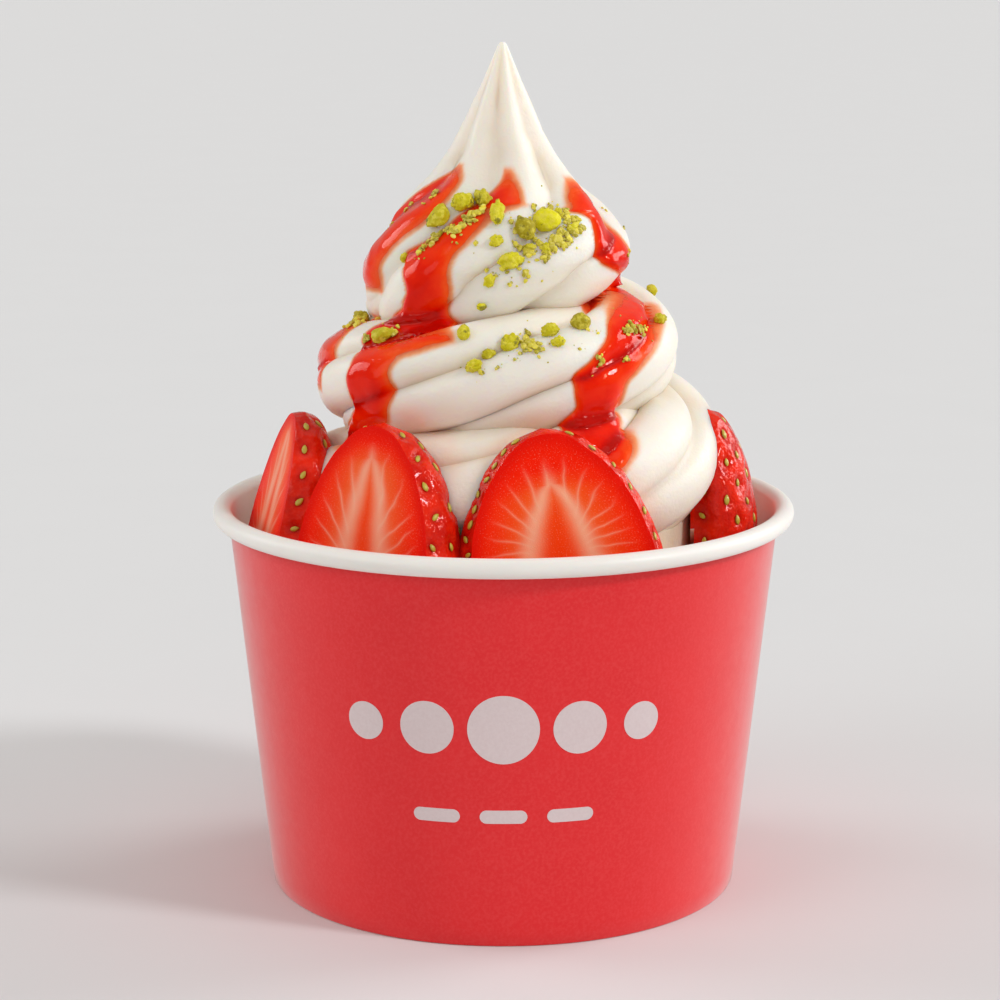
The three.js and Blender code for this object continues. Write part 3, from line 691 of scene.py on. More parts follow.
seed_shape = seed_blank()
for count, berry in enumerate(BERRIES):
    draw = np.random.default_rng(40 + count)
    axes, tip = berry_frame(berry)
    half = berry_half(berry, rings=112, sides=120)
    half.name = berry.name + "_half"
    half.data.polygons.foreach_set("select", cut_faces(half.data))
    for material in (skin_red, flesh_red, seed_gold):
        half.data.materials.append(material)
    bpy.ops.object.mode_set(mode="EDIT")
    bpy.ops.mesh.select_mode(type="FACE")
    bpy.ops.mesh.dissolve_faces()
    bpy.ops.mesh.extrude_region_move(TRANSFORM_OT_translate={"value": (0, 0, 0)})
    middle = -0.5 * berry.length
    bpy.ops.transform.resize(value=(CUT_BORDER, 1, CUT_BORDER), center_override=(0, 0, middle * MM))
    bpy.ops.mesh.poke()
    bpy.ops.object.mode_set(mode="OBJECT")
    half.data.polygons.foreach_set("material_index", cut_faces(half.data))

    skin = places(half.data) / MM
    on_cut = np.abs(skin[:, 1]) < 1e-3
    edge = np.zeros(len(skin), bool)
    for polygon in half.data.polygons:
        if polygon.material_index == 0:
            edge[list(polygon.vertices)] = True
    edge &= on_cut
    border = on_cut & ~edge & (np.hypot(skin[:, 0], skin[:, 2] - middle) > 4.0)
    set_value(half.data, "rim", np.where(edge, 1.0, np.where(border, CUT_BORDER, 0.0)))
    set_value(half.data, "pale", np.full(len(skin), berry.pale))
    across = skin[:, 0] * FAN_WIDTH / berry.half_width
    slices = np.stack([across, skin[:, 1] + 40 * count, -skin[:, 2]], 1)
    set_value(half.data, "slice", slices, "FLOAT_VECTOR")

    normals = np.empty(len(skin) * 3)
    half.data.vertices.foreach_get("normal", normals)
    normals = normals.reshape(-1, 3)
    dimple = np.zeros(len(skin))
    frames = []
    near = 0.01
    for share_down, angle, at in seed_places(berry, draw):
        slope = berry_skin(berry, share_down + near, angle) - at
        sideways = berry_skin(berry, share_down, angle + near) - at
        normal = np.cross(slope, sideways)
        normal = normal if np.dot(normal, [math.cos(angle), math.sin(angle), 0.1]) > 0 else -normal
        normal = normal / np.linalg.norm(normal)
        frame_of = facing(normal, -slope, draw, 0.25)
        offset = (skin - at) @ frame_of.T / DIMPLE
        dimple = np.maximum(dimple, np.exp(-np.sum(offset**2, 1)))
        frames.append((frame_of * draw.uniform(0.85, 1.1), at - normal * SEED_SINK))
    swell = 0.12 * np.array([noise.noise(Vector(p) * 0.22) for p in skin + 17 * count])
    shaped = skin - normals * ((dimple * DIMPLE_DEPTH - swell) * (~on_cut | edge))[:, None]
    shaped[on_cut, 1] = 0
    set_value(half.data, "dimple", dimple)

    seeds = copies(berry.name + "_seeds", seed_shape, frames)
    for mesh, points in ((half.data, shaped), (seeds.data, places(seeds.data))):
        spots = points @ axes + tip
        squeeze = np.minimum(room_limit(spots[:, 2]) / np.hypot(spots[:, 0], spots[:, 1]), 1)
        spots[:, :2] *= squeeze[:, None]
        mesh.vertices.foreach_set("co", (spots * MM).ravel())
    for material in (skin_red, flesh_red, seed_gold):
        seeds.data.materials.append(material)
    seeds.data.polygons.foreach_set("material_index", np.full(len(seeds.data.polygons), 2))
    joined(half.name, [half, seeds])
    bpy.ops.object.shade_smooth_by_angle(angle=math.radians(45))
    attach(half, "root")
    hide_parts(berry.name)
bpy.data.objects.remove(seed_shape)

# ---- Yogurt
# Soft-serve drawn from a star nozzle: the tub is filled level, a fluted rope is coiled up on it in
# rising turns, and the last turn is pulled up into a fluted peak. The berries are pressed into it.
COIL_FLUTES, CAP_FLUTES = 6, 7
FLUTE_DEPTH = 1.9
FILL_TOP = 56.0
PRESSED_IN = 0.3
# radius, height of the heart that fills the coils; its sides are an odd number, so that no edge
# of it falls on one of the coils'
HEART_SIDES = 71
HEART = [(14, 100), (16, 97), (22, 88), (25.5, 78), (31, 62), (31, 50)]
# turn angle, outer radius, centre height, half height, half width of the rope
COIL = [
    (-360, 33.0, 44.0, 8.0, 12.0), (-270, 35.5, 57.0, 10.0, 12.5), (-180, 36.3, 65.0, 11.5, 13.0),
    (-90, 35.6, 69.0, 12.0, 13.0), (-40, 36.3, 70.8, 12.2, 13.0), (0, 35.6, 73.0, 12.0, 13.0),
    (90, 32.4, 78.5, 11.0, 12.5), (180, 31.1, 84.6, 10.5, 12.0), (270, 29.4, 86.8, 10.8, 12.0),
    (360, 28.9, 89.5, 10.6, 12.0), (450, 25.8, 94.0, 9.5, 11.0), (540, 22.6, 97.0, 8.0, 10.0),
    (600, 19.0, 98.0, 6.0, 8.0),
]
COIL_TWIST = [
    (-360, -200), (-180, -20), (-111, 38), (-90, 53), (-50, 117), (-22, 150), (0, 180), (90, 275),
    (180, 365), (233, 420), (261, 449), (281, 473), (300, 490), (360, 545), (480, 640), (600, 730),
]
# radius, height of the peak
CAP = [
    (0.0, 139.0), (0.4, 138.85), (0.8, 138.3), (1.25, 137.3), (2.3, 134.9), (3.5, 132.2),
    (4.75, 129.6), (6.0, 126.9), (7.25, 124.3), (8.75, 121.6), (10.5, 119.2), (11.7, 117.7),
    (14.3, 115.1), (16.9, 112.5), (18.8, 109.9), (20.6, 107.0), (21.5, 104.0), (21.4, 101.0),
    (20.3, 98.0), (18.0, 95.8), (14.0, 94.3), (8.0, 93.8),
]
CAP_TWIST = [
    (90, 90), (93, 80), (97, 65), (100, 54), (102.5, 48), (105, 39.5), (107.5, 28), (110.3, 17),
    (113, 8), (115.5, -4), (118, -9), (122, -9), (126, -5), (139, -4),
]
# across one flute from crease to crease
FLUTE = [0, 0.02, 0.05, 0.09, 0.15, 0.22, 0.3, 0.4, 0.5, 0.6, 0.7, 0.78, 0.85, 0.91, 0.95, 0.98]


def eased(value, low, high):
    """0 at low and 1 at high, smooth at both ends"""
    share = np.clip((value - low) / (high - low), 0, 1)
    return share * share * (3 - 2 * share)


def fluted(count):
    """positions round a rope in degrees, how far each stands out of its crease, and its flute"""
    share = np.array(FLUTE * count)
    flute = np.repeat(np.arange(count), len(FLUTE))
    blur = np.linspace(-0.045, 0.045, 7)
    spans = [1 - np.abs(1 - 2 * ((share + shift) % 1)) ** 3.2 for shift in blur]
    return (flute + share) * 360 / count, np.mean(spans, 0), flute


def lofted(name, rings):
    """a body drawn through rings of points: a grid is bent round, its seam joined, its ends filled"""
    points = np.concatenate([rings, rings[:, :1]], 1) * MM
    rows, columns = points.shape[:2]
    select_only()
    bpy.ops.mesh.primitive_grid_add(x_subdivisions=columns - 1, y_subdivisions=rows - 1, size=1)
    body = bpy.context.object
    body.name = name
    flat = places(body.data)
    column = np.rint((flat[:, 0] + 0.5) * (columns - 1)).astype(int)
    row = np.rint((flat[:, 1] + 0.5) * (rows - 1)).astype(int)
    body.data.vertices.foreach_set("co", points[row, column].ravel())
    bpy.ops.object.mode_set(mode="EDIT")
    bpy.ops.mesh.select_all(action="SELECT")
    bpy.ops.mesh.remove_doubles(threshold=1e-6)
    bpy.ops.mesh.fill_holes(sides=0)
    bpy.ops.mesh.normals_make_consistent(inside=False)
    bpy.ops.object.mode_set(mode="OBJECT")
    return body


def coil_arc(name, start, end):
    """a stretch of the rope; its two ends taper into the stretches before and after it"""
    turn = np.linspace(start, end, int(round((end - start) / 1.6)) + 1)
    turn = np.concatenate([[start - 2.4], turn, [end + 2.4]])[:, None]
    outer, middle, high, wide = [smooth(COIL, turn, k) for k in (1, 2, 3, 4)]
    local, out, flute = fluted(COIL_FLUTES)
    sway = 1.6 * np.sin(np.radians(turn * 1.7) + flute * 2.1) + 0.9 * np.sin(np.radians(turn * 4.3))
    angle = np.radians(local + smooth(COIL_TWIST, turn) + sway)
    depth = FLUTE_DEPTH * (1 + 0.16 * np.sin(np.radians(turn * 2.3) + flute * 1.9))
    swell = 0.28 * np.sin(np.radians(turn * 3.1) + flute * 2.7) + 0.14 * np.sin(np.radians(turn * 7.7))
    dip = (1 - out) * depth - swell * out
    dip[[0, -1]] += 2.5
    radius = outer - wide + (wide - dip) * np.cos(angle)
    rings = np.stack([
        radius * np.cos(np.radians(turn)), radius * np.sin(np.radians(turn)),
        middle + (high - dip) * np.sin(angle),
    ], -1)
    return lofted(name, rings)


def cap_body(name):
    """the peak: its outline is turned round, fluted, twisted and set over toward the last coil"""
    radii, heights = np.array(CAP[1:]).T
    along = np.concatenate([[0], np.cumsum(np.hypot(np.diff(radii), np.diff(heights)))])
    step = np.linspace(0, along[-1], 150)
    path = np.stack([along, radii, heights], 1)
    radius, height = smooth(path, step, 1)[:, None], smooth(path, step, 2)[:, None]
    run = np.stack([np.gradient(radius[:, 0]), np.gradient(height[:, 0])], 1)
    run = run / np.linalg.norm(run, axis=1)[:, None]
    local, crisp, flute = fluted(CAP_FLUTES)
    rounded = 0.5 - 0.5 * np.cos(np.radians(local * CAP_FLUTES))
    out = crisp + (rounded - crisp) * eased(height, 108, 120)
    sway = 1.3 * np.sin(height * 0.31 + flute * 2.3)
    depth = np.minimum(FLUTE_DEPTH * (1 + 0.12 * np.sin(height * 0.4 + flute * 1.7)), 0.13 * radius)
    swell = 0.16 * np.sin(height * 0.23 + flute * 2.9)
    dip = (1 - out) * depth - swell * out * np.minimum(radius / 12, 1)
    angle = np.radians(304 - smooth(CAP_TWIST, height) + local + sway * np.minimum(radius / 9, 1))
    sink = eased(-height, -112, -98)
    reach = radius + dip * run[:, 1:]
    rings = np.stack([
        reach * np.cos(angle) - 0.1 - 1.2 * sink, reach * np.sin(angle),
        height - dip * run[:, :1] + sink * 2.6 * np.cos(angle),
    ], -1)
    return lofted(name, rings)


def turned(name, outline, sides):
    """a round body drawn through (radius, height) in mm"""
    angle = np.linspace(0, 2 * math.pi, sides, endpoint=False)
    return lofted(name, np.array([
        [(r * math.cos(a), r * math.sin(a), z) for a in angle] for r, z in outline
    ]))


def join_or_cut(body, others, operation):
    """each of the others is joined to the body or cut out of it, and is used up"""
    for other in others:
        cut = body.modifiers.new("cut", "BOOLEAN")
        cut.operation, cut.solver, cut.object = operation, "MANIFOLD", other
        bpy.context.view_layer.objects.active = body
        bpy.ops.object.modifier_apply(modifier=cut.name)
        bpy.data.objects.remove(other)


fill = [in_wall(z, 1, 0.45) for z in (7.8, 20, 32, 44, FILL_TOP - 1.2)]
shoulder = fill[-1][0]
fill += [(shoulder - 0.5, FILL_TOP - 0.35), (shoulder - 1.4, FILL_TOP)]
swirl = turned("yogurt_swirl", fill, SIDES)
arcs = [coil_arc("arc", start, end) for start, end in ((-360, -40), (-40, 280), (280, 600))]
join_or_cut(swirl, [turned("heart", HEART, HEART_SIDES)] + arcs + [cap_body("peak")], "UNION")
pockets = []
for berry in BERRIES:
    pocket = berry_half(berry, rings=36, sides=40, grow=-PRESSED_IN)
    axes, tip = berry_frame(berry)
    pocket.data.vertices.foreach_set("co", ((places(pocket.data) / MM @ axes + tip) * MM).ravel())
    pockets.append(pocket)
join_or_cut(swirl, pockets, "DIFFERENCE")

# where the sauce lies: height, azimuth of the two edges, depth of the sauce in mm
SAUCES = [
    ("sauce_left", [
        (119.6, 219, 226, 0.3), (117.3, 202, 234, 0.4), (113.8, 186, 229, 0.5), (111, 176, 224, 0.5),
        (108.3, 175, 214, 0.5), (105, 176, 205, 0.5), (102, 179, 201, 0.5), (99.4, 185, 198, 0.45),
    ]),
    ("sauce_front", [
        (119.0, 273, 275, 0.2), (117.6, 270.5, 278.5, 0.35), (116, 264, 280, 0.45),
        (114.4, 255, 280, 0.4), (113.2, 248, 268, 0.45), (112, 243, 262, 0.5),
        (110.5, 240, 257, 0.5), (108.6, 232, 251, 0.55),
        (106.1, 221, 246, 0.6), (103, 225, 245, 0.7), (100.2, 228, 244, 0.8), (98.2, 226, 243, 0.9),
        (96, 217, 246, 0.9), (94.3, 213, 250, 0.8), (92.8, 213, 243, 0.7), (91, 215, 234, 0.6),
        (88.4, 217, 231, 0.7), (85.2, 217, 232, 0.8), (82.7, 217, 230, 0.8), (80.4, 213, 227, 0.7),
        (78, 206, 221, 0.6), (75.5, 207, 217, 0.6),
    ]),
    ("sauce_right", [
        (117.3, 331, 334, 0.2), (116.2, 326, 342, 0.35), (115, 321, 350, 0.4), (113.7, 315.5, 352, 0.4),
        (112.9, 311.5, 349, 0.45), (112.3, 318, 347, 0.6), (111.3, 322.5, 344, 0.7),
        (109.6, 321.5, 341, 0.8), (108, 319.5, 340, 0.9), (105.8, 318.5, 345, 0.9),
        (104.8, 320.5, 350, 0.85), (103.8, 327, 353, 0.8), (101.5, 344, 358, 0.6), (100, 347, 357, 0.6),
        (99.2, 338, 353, 0.6), (98.5, 329, 351, 0.7), (97.4, 319, 351, 0.8), (95.6, 311, 343, 0.9),
        (93.6, 307, 333, 0.8), (91, 301, 323, 0.7), (88.6, 294, 316, 0.65),
        (86.2, 295, 310, 0.65), (84.2, 295, 309, 0.75), (81.5, 292, 311, 0.9), (79, 290, 307, 0.95),
        (76, 291, 303, 0.95), (73.2, 295, 299, 0.8),
    ]),
    ("sauce_left_low", [
        (94.6, 186, 198, 0.35), (92.5, 180, 198, 0.4), (90, 176, 195, 0.45), (87.5, 175, 193, 0.45),
        (85, 179, 195, 0.45), (83.6, 186, 194, 0.4),
    ]),
    ("sauce_back_right", [
        (117.6, 60, 74, 0.35), (115, 48, 82, 0.5), (112.2, 44, 74, 0.7), (109, 44, 68, 0.8),
        (105.6, 40, 62, 0.7), (102, 42, 58, 0.6), (99.2, 44, 57, 0.8), (97, 38, 62, 0.9),
        (94.6, 35, 60, 0.8), (91, 38, 54, 0.7), (87, 38, 50, 0.7), (84, 40, 48, 0.6),
    ]),
    ("sauce_back_left", [
        (118.4, 128, 138, 0.3), (116, 118, 146, 0.5), (113, 112, 140, 0.6), (109.4, 110, 132, 0.6),
        (105.4, 106, 128, 0.7), (101.4, 106, 124, 0.6), (98.4, 108, 122, 0.8), (96, 100, 126, 0.9),
        (93, 98, 124, 0.8), (89.4, 104, 120, 0.7), (85, 104, 118, 0.7), (81, 100, 116, 0.8),
        (77.6, 102, 114, 0.8), (75, 105, 111, 0.7),
    ]),
]
SPILL = 2.0
SOAK_IN, LEFT_SHARPNESS = 1.7, 0.5
# a painted pink glow on the yogurt near the berries, as of red light bounced off them: its strength and
# reach in mm
BERRY_GLOW, BERRY_GLOW_REACH = 0.14, 6.0


def sauce_edges(rows, height):
    """both edges of a run of sauce and its depth at a height"""
    rising = rows[::-1]
    left = smooth(rising, height, 1) - SPILL + 0.5 * np.sin(height * 1.1 + rows[0][1])
    right = smooth(rising, height, 2) + SPILL + 0.6 * np.sin(height * 0.9 + rows[0][2])
    return left, right, smooth(rising, height, 3)


def edge_distances(rows, azimuth, height, radius):
    """how far inside its two edges a place lies, in mm, measured square to them"""
    near = 0.05
    edges = [sauce_edges(rows, height + side)[:2] for side in (-near, 0.0, near)]
    distances = []
    for low, edge, high, way in zip(*edges, (1, -1)):
        slope = np.radians(high - low) * radius / (2 * near)
        distances.append(way * np.radians(azimuth - edge) * radius / np.hypot(1, slope))
    return distances


def soaked_by(spots):
    """how much sauce has soaked into the yogurt at places on its skin, 0 to 1"""
    bleed = 1.0 + np.clip([noise.noise(Vector(p) * 0.16) for p in spots], 0, 1)
    radius, azimuth = round_the_cup(spots)
    stain = np.zeros(len(spots))
    for _, rows in SAUCES:
        left, right = edge_distances(rows, azimuth, spots[:, 2], radius)
        left = left / LEFT_SHARPNESS
        ends = np.minimum(rows[0][0] - spots[:, 2], spots[:, 2] - rows[-1][0])
        past = np.hypot(np.maximum(np.maximum(-left, -right), 0), np.maximum(-ends, 0))
        inside = np.minimum(np.minimum(left, right), ends)
        stain = np.maximum(stain, eased(np.where(inside > 0, inside / SOAK_IN, -past / bleed), -1, 1))
    return stain


# the skin is cut finer where the stain fades, so that its edge is smooth
stain = soaked_by(places(swirl.data) / MM)
fading = [0.02 < np.mean(stain[list(face.vertices)]) < 0.98 for face in swirl.data.polygons]
select_only(swirl)
bpy.ops.object.mode_set(mode="EDIT")
bpy.ops.mesh.select_mode(type="FACE")
bpy.ops.mesh.select_all(action="DESELECT")
bpy.ops.object.mode_set(mode="OBJECT")
swirl.data.polygons.foreach_set("select", np.array(fading, bool))
bpy.ops.object.mode_set(mode="EDIT")
bpy.ops.mesh.quads_convert_to_tris()
bpy.ops.mesh.subdivide(number_cuts=1)
bpy.ops.object.mode_set(mode="OBJECT")
spots = places(swirl.data) / MM
stain = soaked_by(spots)
# painted light: the yogurt near the berries gets a faint pink glow, as if lit by red light bounced off
# them, kept with the sauce stain
near = np.full(len(spots), np.inf)
for berry in BERRIES:
    axes, tip = berry_frame(berry)
    local = (spots - tip) @ axes.T
    width = smooth(BERRY_OUTLINE, -local[:, 2] / berry.length) * berry.half_width
    past = np.hypot(np.maximum(np.abs(local[:, 0]) - width, 0), np.minimum(local[:, 1], 0))
    near = np.minimum(near, np.hypot(past, np.maximum(local[:, 2], 0)))
berry_glow = BERRY_GLOW * (1 - eased(near, 0.0, BERRY_GLOW_REACH))
set_value(swirl.data, "stain", np.maximum(stain, berry_glow))

# how hollow the skin is at each vertex: how far its neighbours stand out past it, spread about; the
# finish uses it to paint shade into the creases, stronger on the peak
ends = np.empty(len(swirl.data.edges) * 2, int)
swirl.data.edges.foreach_get("vertices", ends)
ends = ends.reshape(-1, 2)
here, there = np.concatenate([ends, ends[:, ::-1]]).T
normals = np.empty(len(spots) * 3)
swirl.data.vertices.foreach_get("normal", normals)
step = spots[there] - spots[here]
length = np.maximum(np.linalg.norm(step, axis=1), 0.05)
lift = np.sum(normals.reshape(-1, 3)[here] * step, 1) / length
neighbours = np.maximum(np.bincount(here, minlength=len(spots)), 1)
hollow = np.maximum(np.bincount(here, lift, len(spots)) / neighbours, 0)
for _ in range(14):
    hollow = 0.5 * hollow + 0.5 * np.bincount(here, hollow[there], len(spots)) / neighbours
set_value(swirl.data, "hollow", np.clip(hollow * (12 + 24 * eased(spots[:, 2], 112, 122)), 0, 1))

frosty, tree, shader = finish(
    "frozen yogurt", Roughness=0.42, Subsurface_Weight=0.7,
    Subsurface_Radius=(1.0, 0.68, 0.36), Subsurface_Scale=4.0 * MM, Specular_IOR_Level=0.4,
)
tone = blend(tree, grain(tree, 6), (0.865, 0.812, 0.72, 1), (0.89, 0.845, 0.765, 1))
# painted shade: the creases are made darker and yellower the more hollow they are
shaded = number(tree, "MULTIPLY", reading(tree, "hollow"), 0.7)
tone = blend(tree, shaded, tone, (0.72, 0.60, 0.42, 1))
# the sauce stain, with the painted pink glow near the berries in it
stain = reading(tree, "stain")
uneven = number(tree, "SUBTRACT", grain(tree, 1.2), 0.5)
uneven = number(tree, "MULTIPLY", uneven, number(tree, "MULTIPLY", stain, 0.5))
soaked = number(tree, "ADD", stain, uneven)
tone = blend(tree, spread(tree, soaked, 0.0, 0.5), tone, (0.94, 0.38, 0.17, 1))
tone = blend(tree, spread(tree, soaked, 0.3, 0.8), tone, (0.93, 0.13, 0.02, 1))
tone = blend(tree, spread(tree, soaked, 0.65, 1.0), tone, (0.93, 0.07, 0.006, 1))
tree.links.new(tone, shader.inputs["Base Color"])
tree.links.new(spread(tree, grain(tree, 1.1), 0.3, 0.7, 0.36, 0.52), shader.inputs["Roughness"])
relief(tree, shader, [(grain(tree, 4, 2), 0.12), (grain(tree, 0.5, 3), 0.07)])
swirl.data.materials.clear()
swirl.data.materials.append(frosty)
swirl.data.polygons.foreach_set("material_index", np.zeros(len(swirl.data.polygons), int))
select_only(swirl)
bpy.ops.object.shade_smooth_by_angle(angle=math.radians(50))
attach(swirl, "root")
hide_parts("yogurt")

# ---- Strawberry sauce
# Thick cooked sauce poured from the top: a thin film over the ridges, pools in the creases, and
# edges that soak into the yogurt.
SUNK, BACK = 0.12, 1.1
FULL_DEPTH = 1.5
# the swirl's skin is felt from outside it, in metres, between two heights, at steps up and round
OUTSIDE = 0.09
LOW, HIGH, RISE, SWEEP = 64.0, 122.0, 0.35, 0.5


def skin_tree(*pieces):
    """all the given pieces' faces, for finding where something comes to rest on them"""
    points, faces = [], []
    for piece in pieces:
        start = len(points)
        points += [tuple(v.co) for v in piece.data.vertices]
        faces += [tuple(start + i for i in p.vertices) for p in piece.data.polygons]
    return BVHTree.FromPolygons(points, faces)


def rest_on(skin, azimuth, height):
    """where a level line from outside meets the skin, in mm, and the skin's normal there"""
    turn = math.radians(azimuth)
    outward = Vector((math.cos(turn), math.sin(turn), 0))
    start = outward * OUTSIDE + Vector((0, 0, height * MM))
    at, normal, _, _ = skin.ray_cast(start, -outward)
    if at is None:
        return None, None
    return np.array(at) / MM, np.array(normal if normal.dot(outward) > 0 else -normal)


def softened(grid, size):
    """a copy of a grid of values blurred along both ways; the second way runs round"""
    for axis, width in enumerate(size):
        reach = int(3 * width)
        kernel = np.exp(-0.5 * (np.arange(-reach, reach + 1) / width) ** 2)
        kernel /= kernel.sum()
        pads = [(0, 0), (0, 0)]
        pads[axis] = (reach, reach)
        padded = np.pad(grid, pads, mode="wrap" if axis else "edge")
        grid = np.apply_along_axis(lambda line: np.convolve(line, kernel, "valid"), axis, padded)
    return grid


bare_skin = skin_tree(swirl)
heights, turns = np.arange(LOW, HIGH, RISE), np.arange(0, 360, SWEEP)
ground = np.zeros((len(heights), len(turns)))
for i, height in enumerate(heights):
    for j, turn in enumerate(turns):
        at, _ = rest_on(bare_skin, turn, height)
        ground[i, j] = 6.0 if at is None else math.hypot(at[0], at[1])
# what a thick liquid would level out to in the creases, and a little over the ridges
pooled = softened(ground, (1.5 / RISE, 3.6 / SWEEP))
film_top = softened(ground, (0.8 / RISE, 2.0 / SWEEP))


def read_grid(grid, azimuth, height):
    """the value of a grid at any place between its rows and columns"""
    row = np.clip((height - LOW) / RISE, 0, len(grid) - 1.001)
    column = (azimuth % 360) / SWEEP
    i, j = row.astype(int), column.astype(int)
    a, b = row - i, column - j
    j, k = j % grid.shape[1], (j + 1) % grid.shape[1]
    low = grid[i, j] * (1 - b) + grid[i, k] * b
    high = grid[i + 1, j] * (1 - b) + grid[i + 1, k] * b
    return low * (1 - a) + high * a


def fullness(rows, azimuth, height, radius):
    """how near the sauce is to its full depth at a place, 0 at its edges and 1 inside"""
    left, right = edge_distances(rows, azimuth, height, radius)
    under_top, over_end = rows[0][0] - height, height - rows[-1][0]
    full = 1.0
    for distance, fade in ((left, 0.6), (right, 1.7), (under_top, 1.6), (over_end, 1.2)):
        full = full * (1 - np.exp(-((np.maximum(distance, 0) / fade) ** 1.3)))
    return full


def sauce_run(name, rows):
    """one run of sauce: a film that follows the skin under it, its back sunk into the yogurt"""
    height = np.linspace(rows[0][0], rows[-1][0], 2000)
    left, right, _ = sauce_edges(rows, height)
    step = np.hypot(np.diff(height), 0.35 * np.maximum(abs(np.diff(left)), abs(np.diff(right))))
    walked = np.concatenate([[0], np.cumsum(step)])
    height = np.interp(np.arange(0, walked[-1], 0.3), walked, height)[:, None]
    left, right, depth = sauce_edges(rows, height)
    across = np.linspace(0, 1, 56)[None, :]
    azimuth = left + (right - left) * across
    level = height + 0 * across
    base = read_grid(ground, azimuth, level)
    full = fullness(rows, azimuth, level, base)
    hollow = read_grid(pooled, azimuth, level) - base
    pool = np.clip(0.25 * np.log1p(np.exp(np.clip(hollow, -6, 6) / 0.25)), 0, 1.7)
    lumps = np.array([[noise.noise(Vector((a * 0.12, z * 0.3, 3.0))) for a in line]
                      for line, z in zip(azimuth, height[:, 0])])
    even = read_grid(film_top, azimuth, level) + depth * (1 + 0.4 * lumps) + pool * 0.8
    front = base - SUNK + full * (np.maximum(even, base + 0.1) - base + SUNK)

    def ring(reach):
        turn = np.radians(azimuth)
        return np.stack([reach * np.cos(turn), reach * np.sin(turn), level], -1)

    body = lofted(name, np.concatenate([ring(front), ring(base - BACK)[:, ::-1]], 1))
    spots = places(body.data) / MM
    radius, turn = round_the_cup(spots)
    under = read_grid(ground, turn, spots[:, 2])
    thick = (radius - under) / FULL_DEPTH
    thick = np.maximum(thick, 0.3 * fullness(rows, turn, spots[:, 2], under))
    set_value(body.data, "film", np.clip(thick, 0, 1))
    return body


sauce = joined("strawberry_sauce", [sauce_run(name, rows) for name, rows in SAUCES])
syrup, tree, shader = finish(
    "strawberry sauce", Roughness=0.12, Coat_Weight=0.18, Coat_Roughness=0.02,
    Subsurface_Weight=0.25, Subsurface_Radius=(1.0, 0.1, 0.02), Subsurface_Scale=1.0 * MM,
    Specular_IOR_Level=0.16, Specular_Tint=(1.0, 0.3, 0.15, 1.0),
)
uneven = number(tree, "MULTIPLY", number(tree, "SUBTRACT", grain(tree, 1.6), 0.5), 0.22)
film = number(tree, "ADD", reading(tree, "film"), uneven)
ramp = tree.nodes.new("ShaderNodeValToRGB")
stops = ramp.color_ramp.elements
stops[0].position, stops[0].color = 0.0, (0.93, 0.10, 0.012, 1)
stops[1].position, stops[1].color = 1.0, (0.46, 0.002, 0.0, 1)
for position, colour in ((0.1, (0.93, 0.075, 0.006, 1)), (0.24, (0.91, 0.034, 0.002, 1)),
                         (0.45, (0.82, 0.012, 0.0, 1)), (0.7, (0.64, 0.003, 0.0, 1))):
    stops.new(position).color = colour
tree.links.new(film, ramp.inputs["Fac"])
tree.links.new(spread(tree, film, 0.02, 0.25, 0.4, 0.1), shader.inputs["Roughness"])
tree.links.new(ramp.outputs["Color"], shader.inputs["Base Color"])
relief(tree, shader, [(grain(tree, 3.2, 1), 0.22), (grain(tree, 1.3, 1), 0.07)])
sauce.data.materials.append(syrup)
bpy.ops.object.shade_smooth_by_angle(angle=math.radians(60))
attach(sauce, "root")
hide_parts("yogurt")

# ---- Pistachio
# Shelled green pistachio, chopped: rounded lumps with scraps of dark skin, and fine crumbs, caught
# on the swirl and in the sauce.
# azimuth, height, length, width, spin, shape, greenness
NUTS = [
    (232.7, 112.0, 4.5, 2.9, 60, "bean", 0.5), (243, 114.2, 3.6, 2.7, 20, "lump", 0.7),
    (256, 114.6, 3.5, 2.4, 150, "lump", 0.5), (266.7, 112.9, 4.4, 2.1, 95, "lump", 0.75),
    (280.1, 110.6, 4.1, 3.2, 110, "drop", 0.15), (295.4, 111.0, 4.6, 3.8, 0, "ball", 1.0),
    (273.3, 105.5, 3.6, 2.6, 10, "lump", 0.8), (256, 95.0, 3.2, 2.1, 95, "drop", 0.6),
    (298.8, 96.0, 3.1, 2.8, 0, "ball", 0.15), (287, 95.0, 2.7, 2.3, 30, "lump", 0.6),
    (272, 93.3, 3.4, 2.7, 70, "lump", 0.65), (177, 93.3, 4.2, 2.8, 10, "lump", 0.2),
    (222, 93.4, 4.5, 2.6, 15, "bean", 0.4), (340, 94.9, 2.1, 1.8, 0, "lump", 0.5),
    (14, 97.6, 2.0, 1.9, 0, "ball", 0.5), (52, 113.0, 3.6, 2.8, 40, "lump", 0.6),
    (88, 109.5, 3.2, 2.6, 120, "ball", 0.9), (150, 112.4, 3.4, 2.8, 70, "lump", 0.5),
    (112, 96.2, 3.0, 2.4, 0, "drop", 0.4), (70, 95.0, 2.8, 2.3, 30, "lump", 0.7),
    (30, 93.0, 3.0, 2.2, 110, "bean", 0.6), (266.5, 108.8, 2.1, 1.8, 20, "lump", 0.8),
    (264.2, 102.8, 2.1, 1.6, 60, "lump", 0.75), (264.6, 92.1, 2.1, 1.7, 0, "lump", 0.45),
    (260.7, 90.2, 2.5, 1.9, 30, "lump", 0.6), (288, 93.8, 2.1, 1.6, 10, "lump", 0.7),
    (219.9, 105.5, 1.9, 1.5, 0, "lump", 0.6), (260.6, 98.9, 1.4, 1.2, 0, "lump", 0.9),
    (306.5, 110.5, 2.5, 1.2, 20, "lump", 0.8), (289.5, 107.6, 1.8, 1.4, 60, "lump", 0.7),
    (304.5, 112.6, 1.7, 1.2, 120, "lump", 0.75), (282.5, 107.6, 1.7, 1.2, 20, "lump", 0.6),
]
